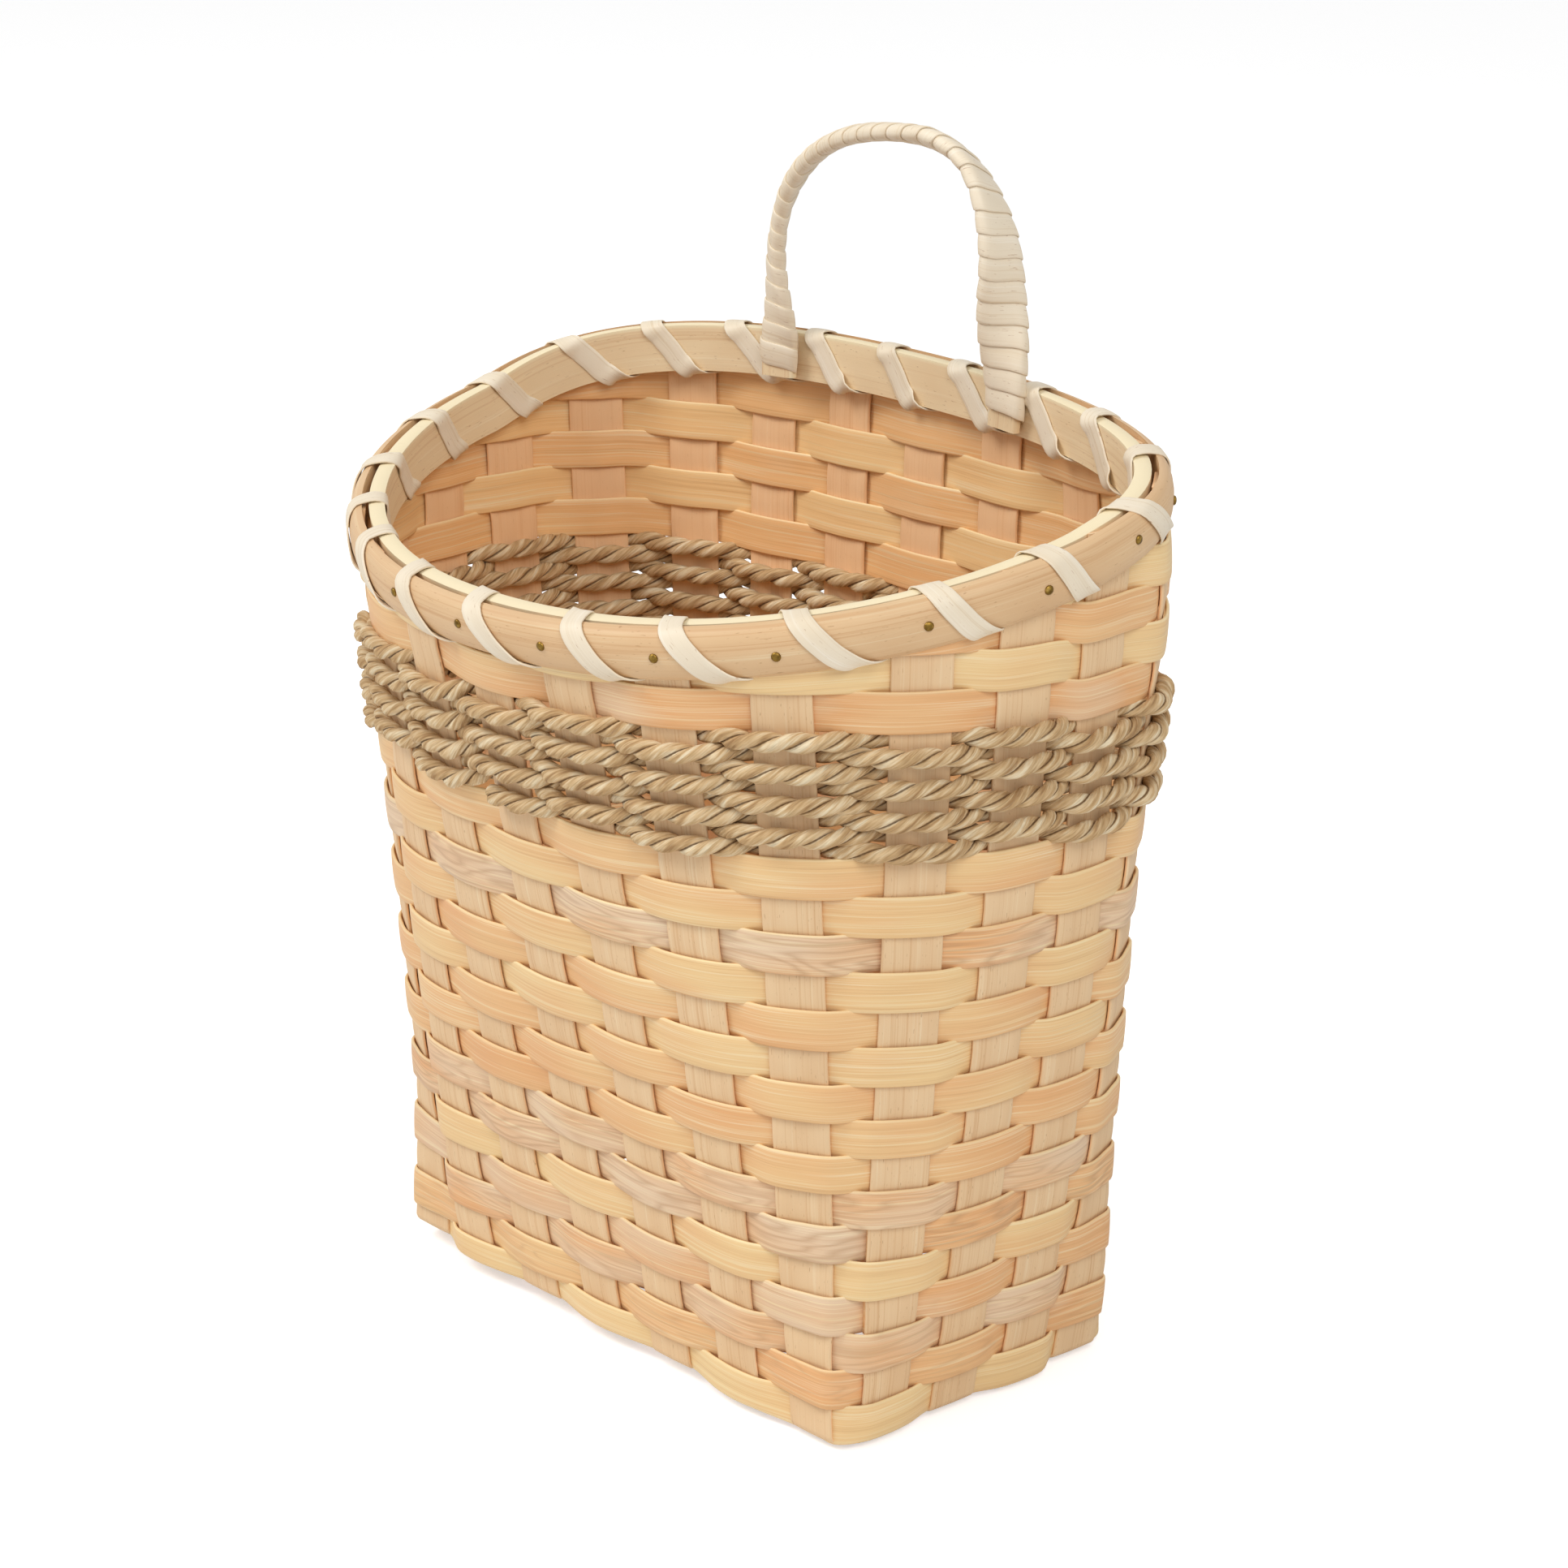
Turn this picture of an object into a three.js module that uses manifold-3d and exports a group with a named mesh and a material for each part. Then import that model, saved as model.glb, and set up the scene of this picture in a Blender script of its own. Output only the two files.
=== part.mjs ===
import * as THREE from "three";
import Module from "manifold-3d";

const wasm = await Module();
wasm.setup();

// Lengths are in millimetres, +Z is up, the front is -Y and the wall side is +Y.

// The wall's middle surface: half sizes at the floor and at the girth level above it.
const BASE_HALF_WIDTH = 88.6;
const BASE_HALF_DEPTH = 49.8;
const GIRTH_LEVEL = 190;
const GIRTH_HALF_WIDTH = 113.2;
const GIRTH_FRONT_DEPTH = 86.1;
const GIRTH_BACK_DEPTH = 56.2;
const GIRTH_CENTRE_Y = 1.8;
const BASE_SQUARENESS = 30;
const FRONT_SQUARENESS = 2.16;
const BACK_SQUARENESS = 2.93;
const SQUARENESS_FADE = 0.6;
const WIDTH_BULGE = 0.36;
const DEPTH_BULGE = -0.21;
const FOLD_SETTLE = 60;

// Upright strips: seven run front to back under the floor, four run side to side.
const STAKE_WIDTH = 14.8;
const STAKE_THICKNESS = 1;
const FRONT_STAKES = 7;
const SIDE_STAKES = 4;
const BASE_FRONT_PITCH = 26.6;
const BASE_SIDE_PITCH = 23.4;
const GIRTH_FRONT_PITCH = 29.5;
const GIRTH_PITCH_CLOSING = 0.78;
const GIRTH_SIDE_PITCH = 24;
const GIRTH_SIDE_CENTRE = -1.5;
const FOLD_RADIUS = 1.4;
const STAKE_TOP_BELOW_RIM = 2;

// Flat weavers.
const ROW_PITCH = 9.5;
const ROW_THICKNESS = 0.9;
const ROW_GAP = 0.3;
const FIRST_ROW_BOTTOM = 3.2;
const FIRST_ROW_TOP = 8.5;
const LOWER_ROWS = 16;
const UPPER_ROWS = 5;
const ROW_LEAST_HEIGHT = 2;

// Twisted seagrass: two strands chase each other round the basket.
const ROPE_DIAMETER = 3.5;
const ROPE_PITCH = 3.87;
const ROPE_COURSES = 8;
const ROPE_STRANDS = 2;
const ROPE_SIDES = 4;
const ROPE_LEAD_STAKES = 3;

// Rim: two hoops that clamp the strips' ends, highest at the back.
const RIM_SIDE_LEVEL = 223.1;
const RIM_RISE = 18.8;
const RIM_ARCH = -5.9;
const RIM_SIDE_ARCH = -3;
const RIM_HEIGHT = 13;
const INNER_HOOP_THICKNESS = 3.4;
const OUTER_HOOP_THICKNESS = 3;
const HOOP_CLEARANCE = 0.7;
const RIM_STEPS = 60;
const RIM_BEND_WEIGHT = 60;

// Lashing: one strip spirals round both hoops.
const LASH_TOP_WIDTH = 8.4;
const LASH_SIDE_WIDTH = 6;
const LASH_THICKNESS = 0.5;
const LASH_CLEARANCE = 0.7;
const LASH_TOP_SHIFT = 0.05;
const LASH_FOOT_SHIFT = 0.2;
const LASH_SLOT = 1.9;
const LASH_LOW_BEND = 1;
const LASH_HIGH_BEND = 1.6;

// Handle: a flat arch whose feet lie on the inner hoop, under a wound strip.
const HANDLE_CENTRE_X = -8.5;
const HANDLE_SPAN = 86;
const HANDLE_SPRING_LEVEL = 259;
const HANDLE_WIDTH = 11;
const HANDLE_THICKNESS = 2.4;
const WRAP_THICKNESS = 0.7;
const FOOT_DROP = 5.5;
const HANDLE_TWIST_FADE = 0.55;
const HANDLE_ARCH_STEPS = 12;

// Brads: one through both hoops at each strip.
const BRAD_HEAD_DIAMETER = 2.4;
const BRAD_HEAD_HEIGHT = 0.6;
const BRAD_SHANK_DIAMETER = 1.1;
const BRAD_BORE_DIAMETER = 1.8;
const BRAD_SIDES = 5;
const BRAD_REACH = 2.8;
const BORE_DEEPER = 0.3;
const BORE_THROUGH = 1.5;

// Clearance between touching pieces.
const SEAT_GAP = 0.3;

const STAKES = 2 * (FRONT_STAKES + SIDE_STAKES);
const WEAVE_OFFSET = STAKE_THICKNESS / 2 + SEAT_GAP + ROW_THICKNESS / 2;
const ROPE_OFFSET = STAKE_THICKNESS / 2 + SEAT_GAP + ROPE_DIAMETER / 2;
const HOOP_OFFSET = STAKE_THICKNESS / 2 + HOOP_CLEARANCE;
const REACH = STAKE_WIDTH / 2 + 0.6;
const ROPE_BOTTOM = FIRST_ROW_TOP + (LOWER_ROWS - 1) * ROW_PITCH;
const UPPER_BOTTOM = ROPE_BOTTOM + ROPE_COURSES * ROPE_PITCH;
const LEVEL_LOW = STAKE_THICKNESS / 2;
const LEVEL_HIGH = LEVEL_LOW + STAKE_THICKNESS + SEAT_GAP;
const RIM_FRONT_LEVEL = RIM_SIDE_LEVEL - RIM_RISE;
const STRIP_NAMES = "abcdefghijk";

// Levels at which the strips bend; between two of them strips and weavers run straight.
const LOWER_KNOTS = [0, 1, 2, 3, 4, 5, 6, 8, 10, 12, LOWER_ROWS - 1];
const KNOTS = [
  0,
  ...LOWER_KNOTS.map((k) => FIRST_ROW_TOP + k * ROW_PITCH),
  UPPER_BOTTOM,
  UPPER_BOTTOM + 3 * ROW_PITCH,
  RIM_SIDE_LEVEL + 2 * RIM_RISE,
];

const mix = (a, b, t) => a + (b - a) * t;
const smooth = (t) => t * t * (3 - 2 * t);
const clamp = (t, lo = 0, hi = 1) => Math.min(hi, Math.max(lo, t));
const vec = (x, y, z) => new THREE.Vector3(x, y, z);
const along = (p, ...steps) => {
  const out = p.clone();
  for (const [direction, amount] of steps) out.addScaledVector(direction, amount);
  return out;
};

// Oval section of the wall at one height.
function section(z) {
  const t = z / GIRTH_LEVEL;
  const wide = t + WIDTH_BULGE * t * (1 - t);
  const deep = t + DEPTH_BULGE * t * (1 - t);
  const fade = Math.pow(Math.max(t, 0), SQUARENESS_FADE);
  return {
    half: mix(BASE_HALF_WIDTH, GIRTH_HALF_WIDTH, wide),
    front: mix(BASE_HALF_DEPTH, GIRTH_FRONT_DEPTH, deep),
    back: mix(BASE_HALF_DEPTH, GIRTH_BACK_DEPTH, deep),
    centre: GIRTH_CENTRE_Y * deep,
    squareFront: 1 / mix(1 / BASE_SQUARENESS, 1 / FRONT_SQUARENESS, fade),
    squareBack: 1 / mix(1 / BASE_SQUARENESS, 1 / BACK_SQUARENESS, fade),
  };
}

function wallAt(angle, z) {
  const s = section(z);
  const c = Math.cos(angle);
  const d = Math.sin(angle);
  const deep = d < 0 ? s.front : s.back;
  const n = d < 0 ? s.squareFront : s.squareBack;
  const r = Math.pow(Math.pow(Math.abs(c / s.half), n) + Math.pow(Math.abs(d / deep), n), -1 / n);
  const nx = (Math.sign(c) * Math.pow(Math.abs((r * c) / s.half), n - 1)) / s.half;
  const ny = (Math.sign(d) * Math.pow(Math.abs((r * d) / deep), n - 1)) / deep;
  return {
    point: vec(r * c, s.centre + r * d, z),
    normal: vec(nx, ny, 0).normalize(),
    across: (r * c) / s.half,
    forth: (r * d) / deep,
  };
}

// Depth of the girth oval at a width, and its width at a depth.
const girth = section(GIRTH_LEVEL);
function girthDepth(x, front) {
  const n = front ? girth.squareFront : girth.squareBack;
  const deep = front ? girth.front : girth.back;
  const rest = Math.pow(1 - Math.pow(Math.abs(x) / girth.half, n), 1 / n) * deep;
  return girth.centre + (front ? -rest : rest);
}

function girthWidth(y) {
  const front = y < girth.centre;
  const n = front ? girth.squareFront : girth.squareBack;
  const deep = front ? girth.front : girth.back;
  return girth.half * Math.pow(1 - Math.pow(Math.abs(y - girth.centre) / deep, n), 1 / n);
}

// Strip ends are counted anticlockwise from the front left corner.
function stakeEnds(index) {
  const half = STAKES / 2;
  const far = index >= half;
  const place = far ? index - half : index;
  if (place < FRONT_STAKES) {
    const step = (place - (FRONT_STAKES - 1) / 2) * (far ? -1 : 1);
    const spread = GIRTH_FRONT_PITCH * Math.abs(step) - GIRTH_PITCH_CLOSING * step * step;
    const x = Math.sign(step) * spread;
    return {
      foot: [step * BASE_FRONT_PITCH, far ? BASE_HALF_DEPTH : -BASE_HALF_DEPTH],
      head: [x, girthDepth(x, !far)],
      facing: vec(0, far ? 1 : -1, 0),
    };
  }
  const step = (place - FRONT_STAKES - (SIDE_STAKES - 1) / 2) * (far ? -1 : 1);
  const y = GIRTH_SIDE_CENTRE + step * GIRTH_SIDE_PITCH;
  return {
    foot: [far ? -BASE_HALF_WIDTH : BASE_HALF_WIDTH, step * BASE_SIDE_PITCH],
    head: [(far ? -1 : 1) * girthWidth(y), y],
    facing: vec(far ? -1 : 1, 0, 0),
  };
}

const ENDS = Array.from({ length: STAKES }, (_, i) => stakeEnds(i));

function stakePoint(index, z) {
  const { foot, head } = ENDS[(index + STAKES) % STAKES];
  const t = z / GIRTH_LEVEL;
  const x = mix(foot[0], head[0], t + WIDTH_BULGE * t * (1 - t));
  const y = mix(foot[1], head[1], t + DEPTH_BULGE * t * (1 - t));
  return wallAt(Math.atan2(y - section(z).centre, x), z);
}

// Frame on a strip at a bend level: point, direction round the basket, outward normal, up the wall.
function knotFrame(index, z) {
  const at = stakePoint(index, z);
  const facing = ENDS[(index + STAKES) % STAKES].facing;
  const aside = vec(0, 0, 1).cross(facing);
  const settle = smooth(clamp(z / FOLD_SETTLE));
  const up = stakePoint(index, z + 1).point.sub(stakePoint(index, Math.max(0, z - 1)).point);
  up.addScaledVector(aside, (settle - 1) * up.dot(aside)).normalize();
  const half = STAKE_WIDTH / 2 / Math.hypot(at.point.x, at.point.y);
  const angle = angleOf(at.point);
  const ahead = wallAt(angle + half, z).point;
  const behind = wallAt(angle - half, z).point;
  const chord = ahead.clone().sub(behind).normalize();
  const middle = ahead.add(behind).multiplyScalar(0.5);
  const normal = facing.clone().lerp(vec(chord.y, -chord.x, 0), settle).normalize();
  const round = up.clone().cross(normal).normalize();
  const inset = middle.sub(at.point).dot(normal) / 2;
  return { p: along(at.point, [normal, inset * settle]), round, out: round.clone().cross(up), up };
}

const knotCache = Array.from({ length: STAKES }, () => []);
function stakeFrame(index, z) {
  const place = (index + STAKES) % STAKES;
  let k = KNOTS.findIndex((level) => level > z) - 1;
  if (k < 0) k = KNOTS.length - 2;
  const cache = knotCache[place];
  for (const n of [k, k + 1]) cache[n] = cache[n] || knotFrame(place, KNOTS[n]);
  const part = (z - KNOTS[k]) / (KNOTS[k + 1] - KNOTS[k]);
  const between = (key) => cache[k][key].clone().lerp(cache[k + 1][key], part);
  return { p: between("p"), round: between("round"), out: between("out"), up: between("up") };
}

// Rim curve with its frame, and its height above any angle.
function rimPoint(angle) {
  let z = RIM_SIDE_LEVEL;
  let at = wallAt(angle, z);
  for (let k = 0; k < 5; k++) {
    const y = at.forth;
    z = RIM_SIDE_LEVEL + RIM_RISE * y + RIM_ARCH * y * y + RIM_SIDE_ARCH * at.across * at.across;
    at = wallAt(angle, z);
  }
  return at.point;
}

function rimFrame(angle) {
  const p = rimPoint(angle);
  const round = rimPoint(angle + 0.01).sub(rimPoint(angle - 0.01)).normalize();
  const up = wallAt(angle, p.z + 1).point.sub(wallAt(angle, p.z - 1).point);
  up.addScaledVector(round, -up.dot(round)).normalize();
  return { p, round, out: round.clone().cross(up), up };
}

function angleOf(p) {
  return Math.atan2(p.y - section(p.z).centre, p.x);
}

const rimUnder = (p) => {
  const f = rimFrame(angleOf(p));
  return f.p.z - (RIM_HEIGHT / 2) * f.up.z - LASH_SLOT;
};

// Lengths along the rim from the right side, plain and with the bends counted as extra.
const RIM_SAMPLES = 720;
const sampleAngle = (k) => (2 * Math.PI * k) / RIM_SAMPLES;
const rimLengths = [0];
const rimBends = [0];
for (let k = 0; k < RIM_SAMPLES; k++) {
  const a = rimPoint(sampleAngle(k));
  const b = rimPoint(sampleAngle(k + 1));
  const turn = rimFrame(sampleAngle(k)).round.angleTo(rimFrame(sampleAngle(k + 1)).round);
  rimLengths.push(rimLengths[k] + a.distanceTo(b));
  rimBends.push(rimBends[k] + a.distanceTo(b) + RIM_BEND_WEIGHT * turn);
}

function angleAt(table, value) {
  const whole = table[RIM_SAMPLES];
  const turns = Math.floor(value / whole);
  const rest = value - turns * whole;
  const k = clamp(table.findIndex((v) => v > rest) - 1, 0, RIM_SAMPLES - 1);
  const part = (rest - table[k]) / (table[k + 1] - table[k]);
  return 2 * Math.PI * turns + mix(sampleAngle(k), sampleAngle(k + 1), part);
}

function lengthAt(angle) {
  const turn = 2 * Math.PI;
  const place = ((angle / turn) * RIM_SAMPLES) % RIM_SAMPLES;
  const wrapped = place < 0 ? place + RIM_SAMPLES : place;
  const k = Math.floor(wrapped);
  return mix(rimLengths[k], rimLengths[k + 1], wrapped - k);
}

const volumeOf = (points, faces) =>
  faces.reduce((sum, [a, b, c]) => sum + points[a].dot(points[b].clone().cross(points[c])), 0);

// Solid through a chain of sections. Each twisted side is split along the diagonal that takes less space.
function sweep(sections, closed = false) {
  const count = sections[0].length;
  const rings = sections.length;
  const quads = [];
  for (let r = 0; r < (closed ? rings : rings - 1); r++) {
    const a = r * count;
    const b = ((r + 1) % rings) * count;
    for (let k = 0; k < count; k++) {
      const n = (k + 1) % count;
      quads.push([a + k, b + k, b + n, a + n]);
    }
  }
  const caps = [];
  const last = (rings - 1) * count;
  for (let k = 1; !closed && k < count - 1; k++) {
    caps.push([0, k, k + 1], [last, last + k + 1, last + k]);
  }
  return closeUp(sections.flat(), quads, caps);
}

function closeUp(points, quads, triangles) {
  const plain = quads.flatMap(([a, b, c, d]) => [[a, b, c], [a, c, d]]);
  const way = Math.sign(volumeOf(points, [...plain, ...triangles]));
  const turned = (faces) => (way < 0 ? faces.map(([a, b, c]) => [a, c, b]) : faces);
  const faces = quads.flatMap(([a, b, c, d]) => {
    const one = turned([[a, b, c], [a, c, d]]);
    const two = turned([[a, b, d], [b, c, d]]);
    return volumeOf(points, one) <= volumeOf(points, two) ? one : two;
  });
  return { positions: points.flatMap((p) => [p.x, p.y, p.z]), faces: [...faces, ...turned(triangles)] };
}

const solid = ({ positions, faces }) =>
  new wasm.Manifold(
    new wasm.Mesh({
      numProp: 3,
      vertProperties: new Float32Array(positions),
      triVerts: new Uint32Array(faces.flat()),
    }),
  );

function geometryOf(shape) {
  const geometry = new THREE.BufferGeometry();
  const mesh = shape.faces ? null : shape.getMesh();
  const positions = mesh ? mesh.vertProperties : new Float32Array(shape.positions);
  const index = mesh ? Array.from(mesh.triVerts) : shape.faces.flat();
  geometry.setAttribute("position", new THREE.BufferAttribute(positions, 3));
  geometry.setIndex(index);
  geometry.computeVertexNormals();
  return geometry;
}

const group = new THREE.Group();
group.name = "hanging_wall_basket";

function add(name, shape, color, roughness = 0.7, metalness = 0) {
  const material = new THREE.MeshStandardMaterial({ color, roughness, metalness });
  const mesh = new THREE.Mesh(geometryOf(shape), material);
  mesh.name = name;
  group.add(mesh);
  return mesh;
}

// Rectangle round a point, from one side to the other and from inside to outside.
const plate = (f, half, inner, outer) => [
  along(f.p, [f.round, -half], [f.out, inner]),
  along(f.p, [f.round, half], [f.out, inner]),
  along(f.p, [f.round, half], [f.out, outer]),
  along(f.p, [f.round, -half], [f.out, outer]),
];

// Uprights.
const strap = (f) => plate(f, STAKE_WIDTH / 2, -STAKE_THICKNESS / 2, STAKE_THICKNESS / 2);

const rimTop = (index) => {
  const f = rimFrame(angleOf(stakePoint(index, RIM_SIDE_LEVEL).point));
  return f.p.z + (RIM_HEIGHT / 2) * f.up.z - STAKE_TOP_BELOW_RIM;
};

function wallSections(index, level) {
  const roof = rimTop(index);
  const steps = KNOTS.filter((z) => z > level + FOLD_RADIUS && z < roof - 3);
  return [level + FOLD_RADIUS, ...steps, roof].map((z) => strap(stakeFrame(index, z)));
}

// The fold turns a quarter circle from the floor into the wall.
function foldSections(index, level) {
  const f = stakeFrame(index, level + FOLD_RADIUS);
  const facing = ENDS[index].facing;
  const centre = along(f.p, [facing, -FOLD_RADIUS]);
  return [0.25, 0.6].map((part) => {
    const turn = (part * Math.PI) / 2;
    const out = facing.clone().multiplyScalar(Math.sin(turn)).add(vec(0, 0, -Math.cos(turn)));
    const p = along(centre, [out, FOLD_RADIUS]);
    return strap({ p, round: f.round, out });
  });
}

// Floor of one strip: it passes over and under the strips that cross it.
function floorSections(index, crossings, overFirst) {
  const facing = ENDS[index].facing;
  const round = vec(0, 0, 1).cross(facing);
  const foot = stakeFrame(index, 0).p;
  const sections = [];
  crossings.forEach((place, k) => {
    const high = (k % 2 === 0) === overFirst;
    const level = high ? LEVEL_HIGH : LEVEL_LOW;
    for (const edge of [-REACH, REACH]) {
      const p = along(vec(foot.x, foot.y, 0), [facing, -place - edge]);
      p.z = level;
      sections.push(strap({ p, round, out: vec(0, 0, -1) }));
    }
  });
  return sections;
}

function upright(index) {
  const half = STAKES / 2;
  const across = index < FRONT_STAKES;
  const other = index < FRONT_STAKES ? half + FRONT_STAKES - 1 - index : half + 2 * FRONT_STAKES + SIDE_STAKES - 1 - index;
  const count = across ? SIDE_STAKES : FRONT_STAKES;
  const pitch = across ? BASE_SIDE_PITCH : BASE_FRONT_PITCH;
  const reach = across ? BASE_HALF_DEPTH : BASE_HALF_WIDTH;
  const places = Array.from({ length: count }, (_, k) => reach + (k - (count - 1) / 2) * pitch);
  const own = across ? index : index - FRONT_STAKES;
  const overFirst = across === (own % 2 === 0);
  const overLast = (count % 2 === 0) !== overFirst;
  const first = overFirst ? LEVEL_HIGH : LEVEL_LOW;
  const last = overLast ? LEVEL_HIGH : LEVEL_LOW;
  const mirrored = (s) => [s[1], s[0], s[3], s[2]];
  return sweep([
    ...wallSections(index, first).reverse(),
    ...foldSections(index, first).reverse(),
    ...floorSections(index, places, overFirst),
    ...foldSections(other, last).map(mirrored),
    ...wallSections(other, last).map(mirrored),
  ]);
}

// Weavers: a row covers the strips whose number plus its own is even.
const covers = (row, index) => (row + index) % 2 === 0;

function rowCorner(row, index, side, bottom, top) {
  const off = covers(row, index) ? WEAVE_OFFSET : -WEAVE_OFFSET;
  const low = stakeFrame(index, bottom);
  const centre = along(low.p, [low.round, side * REACH]);
  const roof = Math.min(top, rimUnder(centre));
  const high = stakeFrame(index, roof);
  const corner = (f, lift) => along(f.p, [f.round, side * REACH], [f.out, off + lift]);
  const t = ROW_THICKNESS / 2;
  return {
    height: roof - bottom,
    corners: [corner(low, -t), corner(low, t), corner(high, t), corner(high, -t)],
  };
}

// Where the rim cuts a row, the row keeps its run round the back, where the rim is highest.
const BACK_MIDDLE = STAKES / 2 + (FRONT_STAKES - 1) / 2;
function rowSolid(row, bottom, top) {
  const stations = [];
  for (let index = 0; index < STAKES; index++) {
    for (const side of [-1, 1]) stations.push(rowCorner(row, index, side, bottom, top));
  }
  const count = stations.length;
  const kept = (k) => stations[(k + count) % count].height > ROW_LEAST_HEIGHT;
  if (stations.every((_, k) => kept(k))) return sweep(stations.map((s) => s.corners), true);
  let first = 2 * BACK_MIDDLE;
  let last = first;
  while (kept(first - 1)) first -= 1;
  while (kept(last + 1)) last += 1;
  const run = Array.from({ length: last - first + 1 }, (_, k) => stations[(first + k + count) % count].corners);
  return sweep(run);
}

// Seagrass: a strand rises one course before strip 0 and one before strip 3, where the other starts.
function strandPath(strand) {
  const starts = [0, ROPE_LEAD_STAKES];
  const points = [];
  for (let step = 0; step < (ROPE_COURSES / ROPE_STRANDS) * STAKES; step++) {
    const index = (starts[strand] + step) % STAKES;
    const level = 0.5 + (strand ? risesOf(step, STAKES - starts[1], STAKES) : risesOf(step, starts[1], STAKES));
    const z = ROPE_BOTTOM + level * ROPE_PITCH;
    const off = covers(strand, index) ? ROPE_OFFSET : -ROPE_OFFSET;
    const f = stakeFrame(index, z);
    for (const side of [-1, 1]) {
      points.push({ p: along(f.p, [f.round, side * REACH], [f.out, off]), up: f.up });
    }
  }
  return points;
}

const risesOf = (step, first, turn) => {
  const turns = Math.floor(step / turn);
  return 2 * turns + (step - turns * turn >= first ? 1 : 0);
};

function tube(points, radius, sides) {
  const last = points.length - 1;
  return sweep(
    points.map(({ p, up }, k) => {
      const ahead = points[Math.min(k + 1, last)].p.clone().sub(p).normalize();
      const behind = p.clone().sub(points[Math.max(k - 1, 0)].p).normalize();
      const way = ahead.add(behind).normalize();
      const out = way.clone().cross(up).normalize();
      const high = out.clone().cross(way);
      return Array.from({ length: sides }, (_, c) => {
        const turn = ((c + 0.25) * 2 * Math.PI) / sides;
        return along(p, [out, radius * Math.cos(turn)], [high, radius * Math.sin(turn)]);
      });
    }),
  );
}

// Smallest distance between two turns of one strand, edge to edge.
function strandGap(points) {
  let least = Infinity;
  for (let i = 0; i < points.length; i++) {
    for (let j = i + STAKES; j < points.length; j++) {
      least = Math.min(least, points[i].p.distanceTo(points[j].p));
    }
  }
  return least - ROPE_DIAMETER;
}

// Hoops.
const angles = Array.from({ length: RIM_STEPS }, (_, k) =>
  angleAt(rimBends, (rimBends[RIM_SAMPLES] * k) / RIM_STEPS),
);
const hoop = (profile) =>
  sweep(
    angles.map((angle) => {
      const f = rimFrame(angle);
      return profile.map(([out, up]) => along(f.p, [f.out, out], [f.up, up]));
    }),
    true,
  );

const top = RIM_HEIGHT / 2;
const innerFace = HOOP_OFFSET + INNER_HOOP_THICKNESS;
const outerFace = HOOP_OFFSET + OUTER_HOOP_THICKNESS;
const innerProfile = [
  [-HOOP_OFFSET, -top],
  [-HOOP_OFFSET, top],
  [-innerFace, top],
  [-innerFace, -top],
];
const outerProfile = [
  [HOOP_OFFSET, -top],
  [mix(HOOP_OFFSET, outerFace, 0.45), -top],
  [outerFace, -top * 0.55],
  [outerFace, top * 0.55],
  [mix(HOOP_OFFSET, outerFace, 0.45), top],
  [HOOP_OFFSET, top],
];

// Length along the rim above a place between two strips.
const stakeLengths = ENDS.map((_, k) => lengthAt(angleOf(stakePoint(k, RIM_SIDE_LEVEL).point)));
function placeLength(step) {
  const at = (k) => {
    const whole = rimLengths[RIM_SAMPLES];
    const base = stakeLengths[k % STAKES];
    const first = stakeLengths[0];
    return base + (base < first - 1 ? whole : 0) + Math.floor(k / STAKES) * whole;
  };
  const low = Math.floor(step);
  return mix(at(low), at(low + 1), step - low);
}

// Stations of one wrap: place between strips, distance out, distance up and width.
const FOOT_WRAPS = [12, 15];
const LEG_DEPTH = HANDLE_THICKNESS + 2 * WRAP_THICKNESS + 3 * SEAT_GAP;
function wrapStations(wrap) {
  const c = LASH_CLEARANCE;
  const foot = FOOT_WRAPS.includes(wrap);
  const deep = foot ? LEG_DEPTH : 0;
  const over = wrap + 1 + LASH_TOP_SHIFT + (foot ? LASH_FOOT_SHIFT : 0);
  const from = wrap + 0.5;
  const to = wrap + 1.5;
  const inside = innerFace + c;
  const outside = outerFace + c;
  const wide = foot ? LASH_SIDE_WIDTH : LASH_TOP_WIDTH;
  return [
    [from, -inside - deep, -top - c, LASH_SIDE_WIDTH],
    [mix(from, over, 0.12), -inside - deep, -top + LASH_LOW_BEND, LASH_SIDE_WIDTH],
    [mix(from, over, 0.86), -inside - deep, top - LASH_HIGH_BEND, wide],
    [over, -inside, top + c * 0.2, wide],
    [over, -innerFace * 0.55, top + c, wide],
    [over, outerFace * 0.55, top + c, wide],
    [mix(over, to, 0.12), outside, top * 0.6, wide],
    [mix(over, to, 0.5), outside, 0, LASH_SIDE_WIDTH],
    [mix(over, to, 0.88), outside, -top * 0.6, LASH_SIDE_WIDTH],
    [to, outerFace * 0.55, -top - c, LASH_SIDE_WIDTH],
  ];
}

function lashing() {
  const stations = [];
  for (let wrap = 0; wrap < STAKES; wrap++) stations.push(...wrapStations(wrap));
  const last = stations.length - 1;
  return sweep(
    stations.map(([step, out, up, width], k) => {
      const before = stations[Math.max(0, k - 1)];
      const after = stations[Math.min(last, k + 1)];
      const rise = after[2] - before[2];
      const slide = after[1] - before[1];
      const size = Math.hypot(rise, slide);
      const lift = [(-rise / size) * LASH_THICKNESS, (slide / size) * LASH_THICKNESS];
      const middle = placeLength(step);
      const edge = (side) => rimFrame(angleAt(rimLengths, middle + (side * width) / 2));
      const corner = (f, t) => along(f.p, [f.out, out + t * lift[0]], [f.up, up + t * lift[1]]);
      const [left, right] = [edge(-1), edge(1)];
      return [corner(left, 0), corner(right, 0), corner(right, 1), corner(left, 1)];
    }),
  );
}

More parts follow.
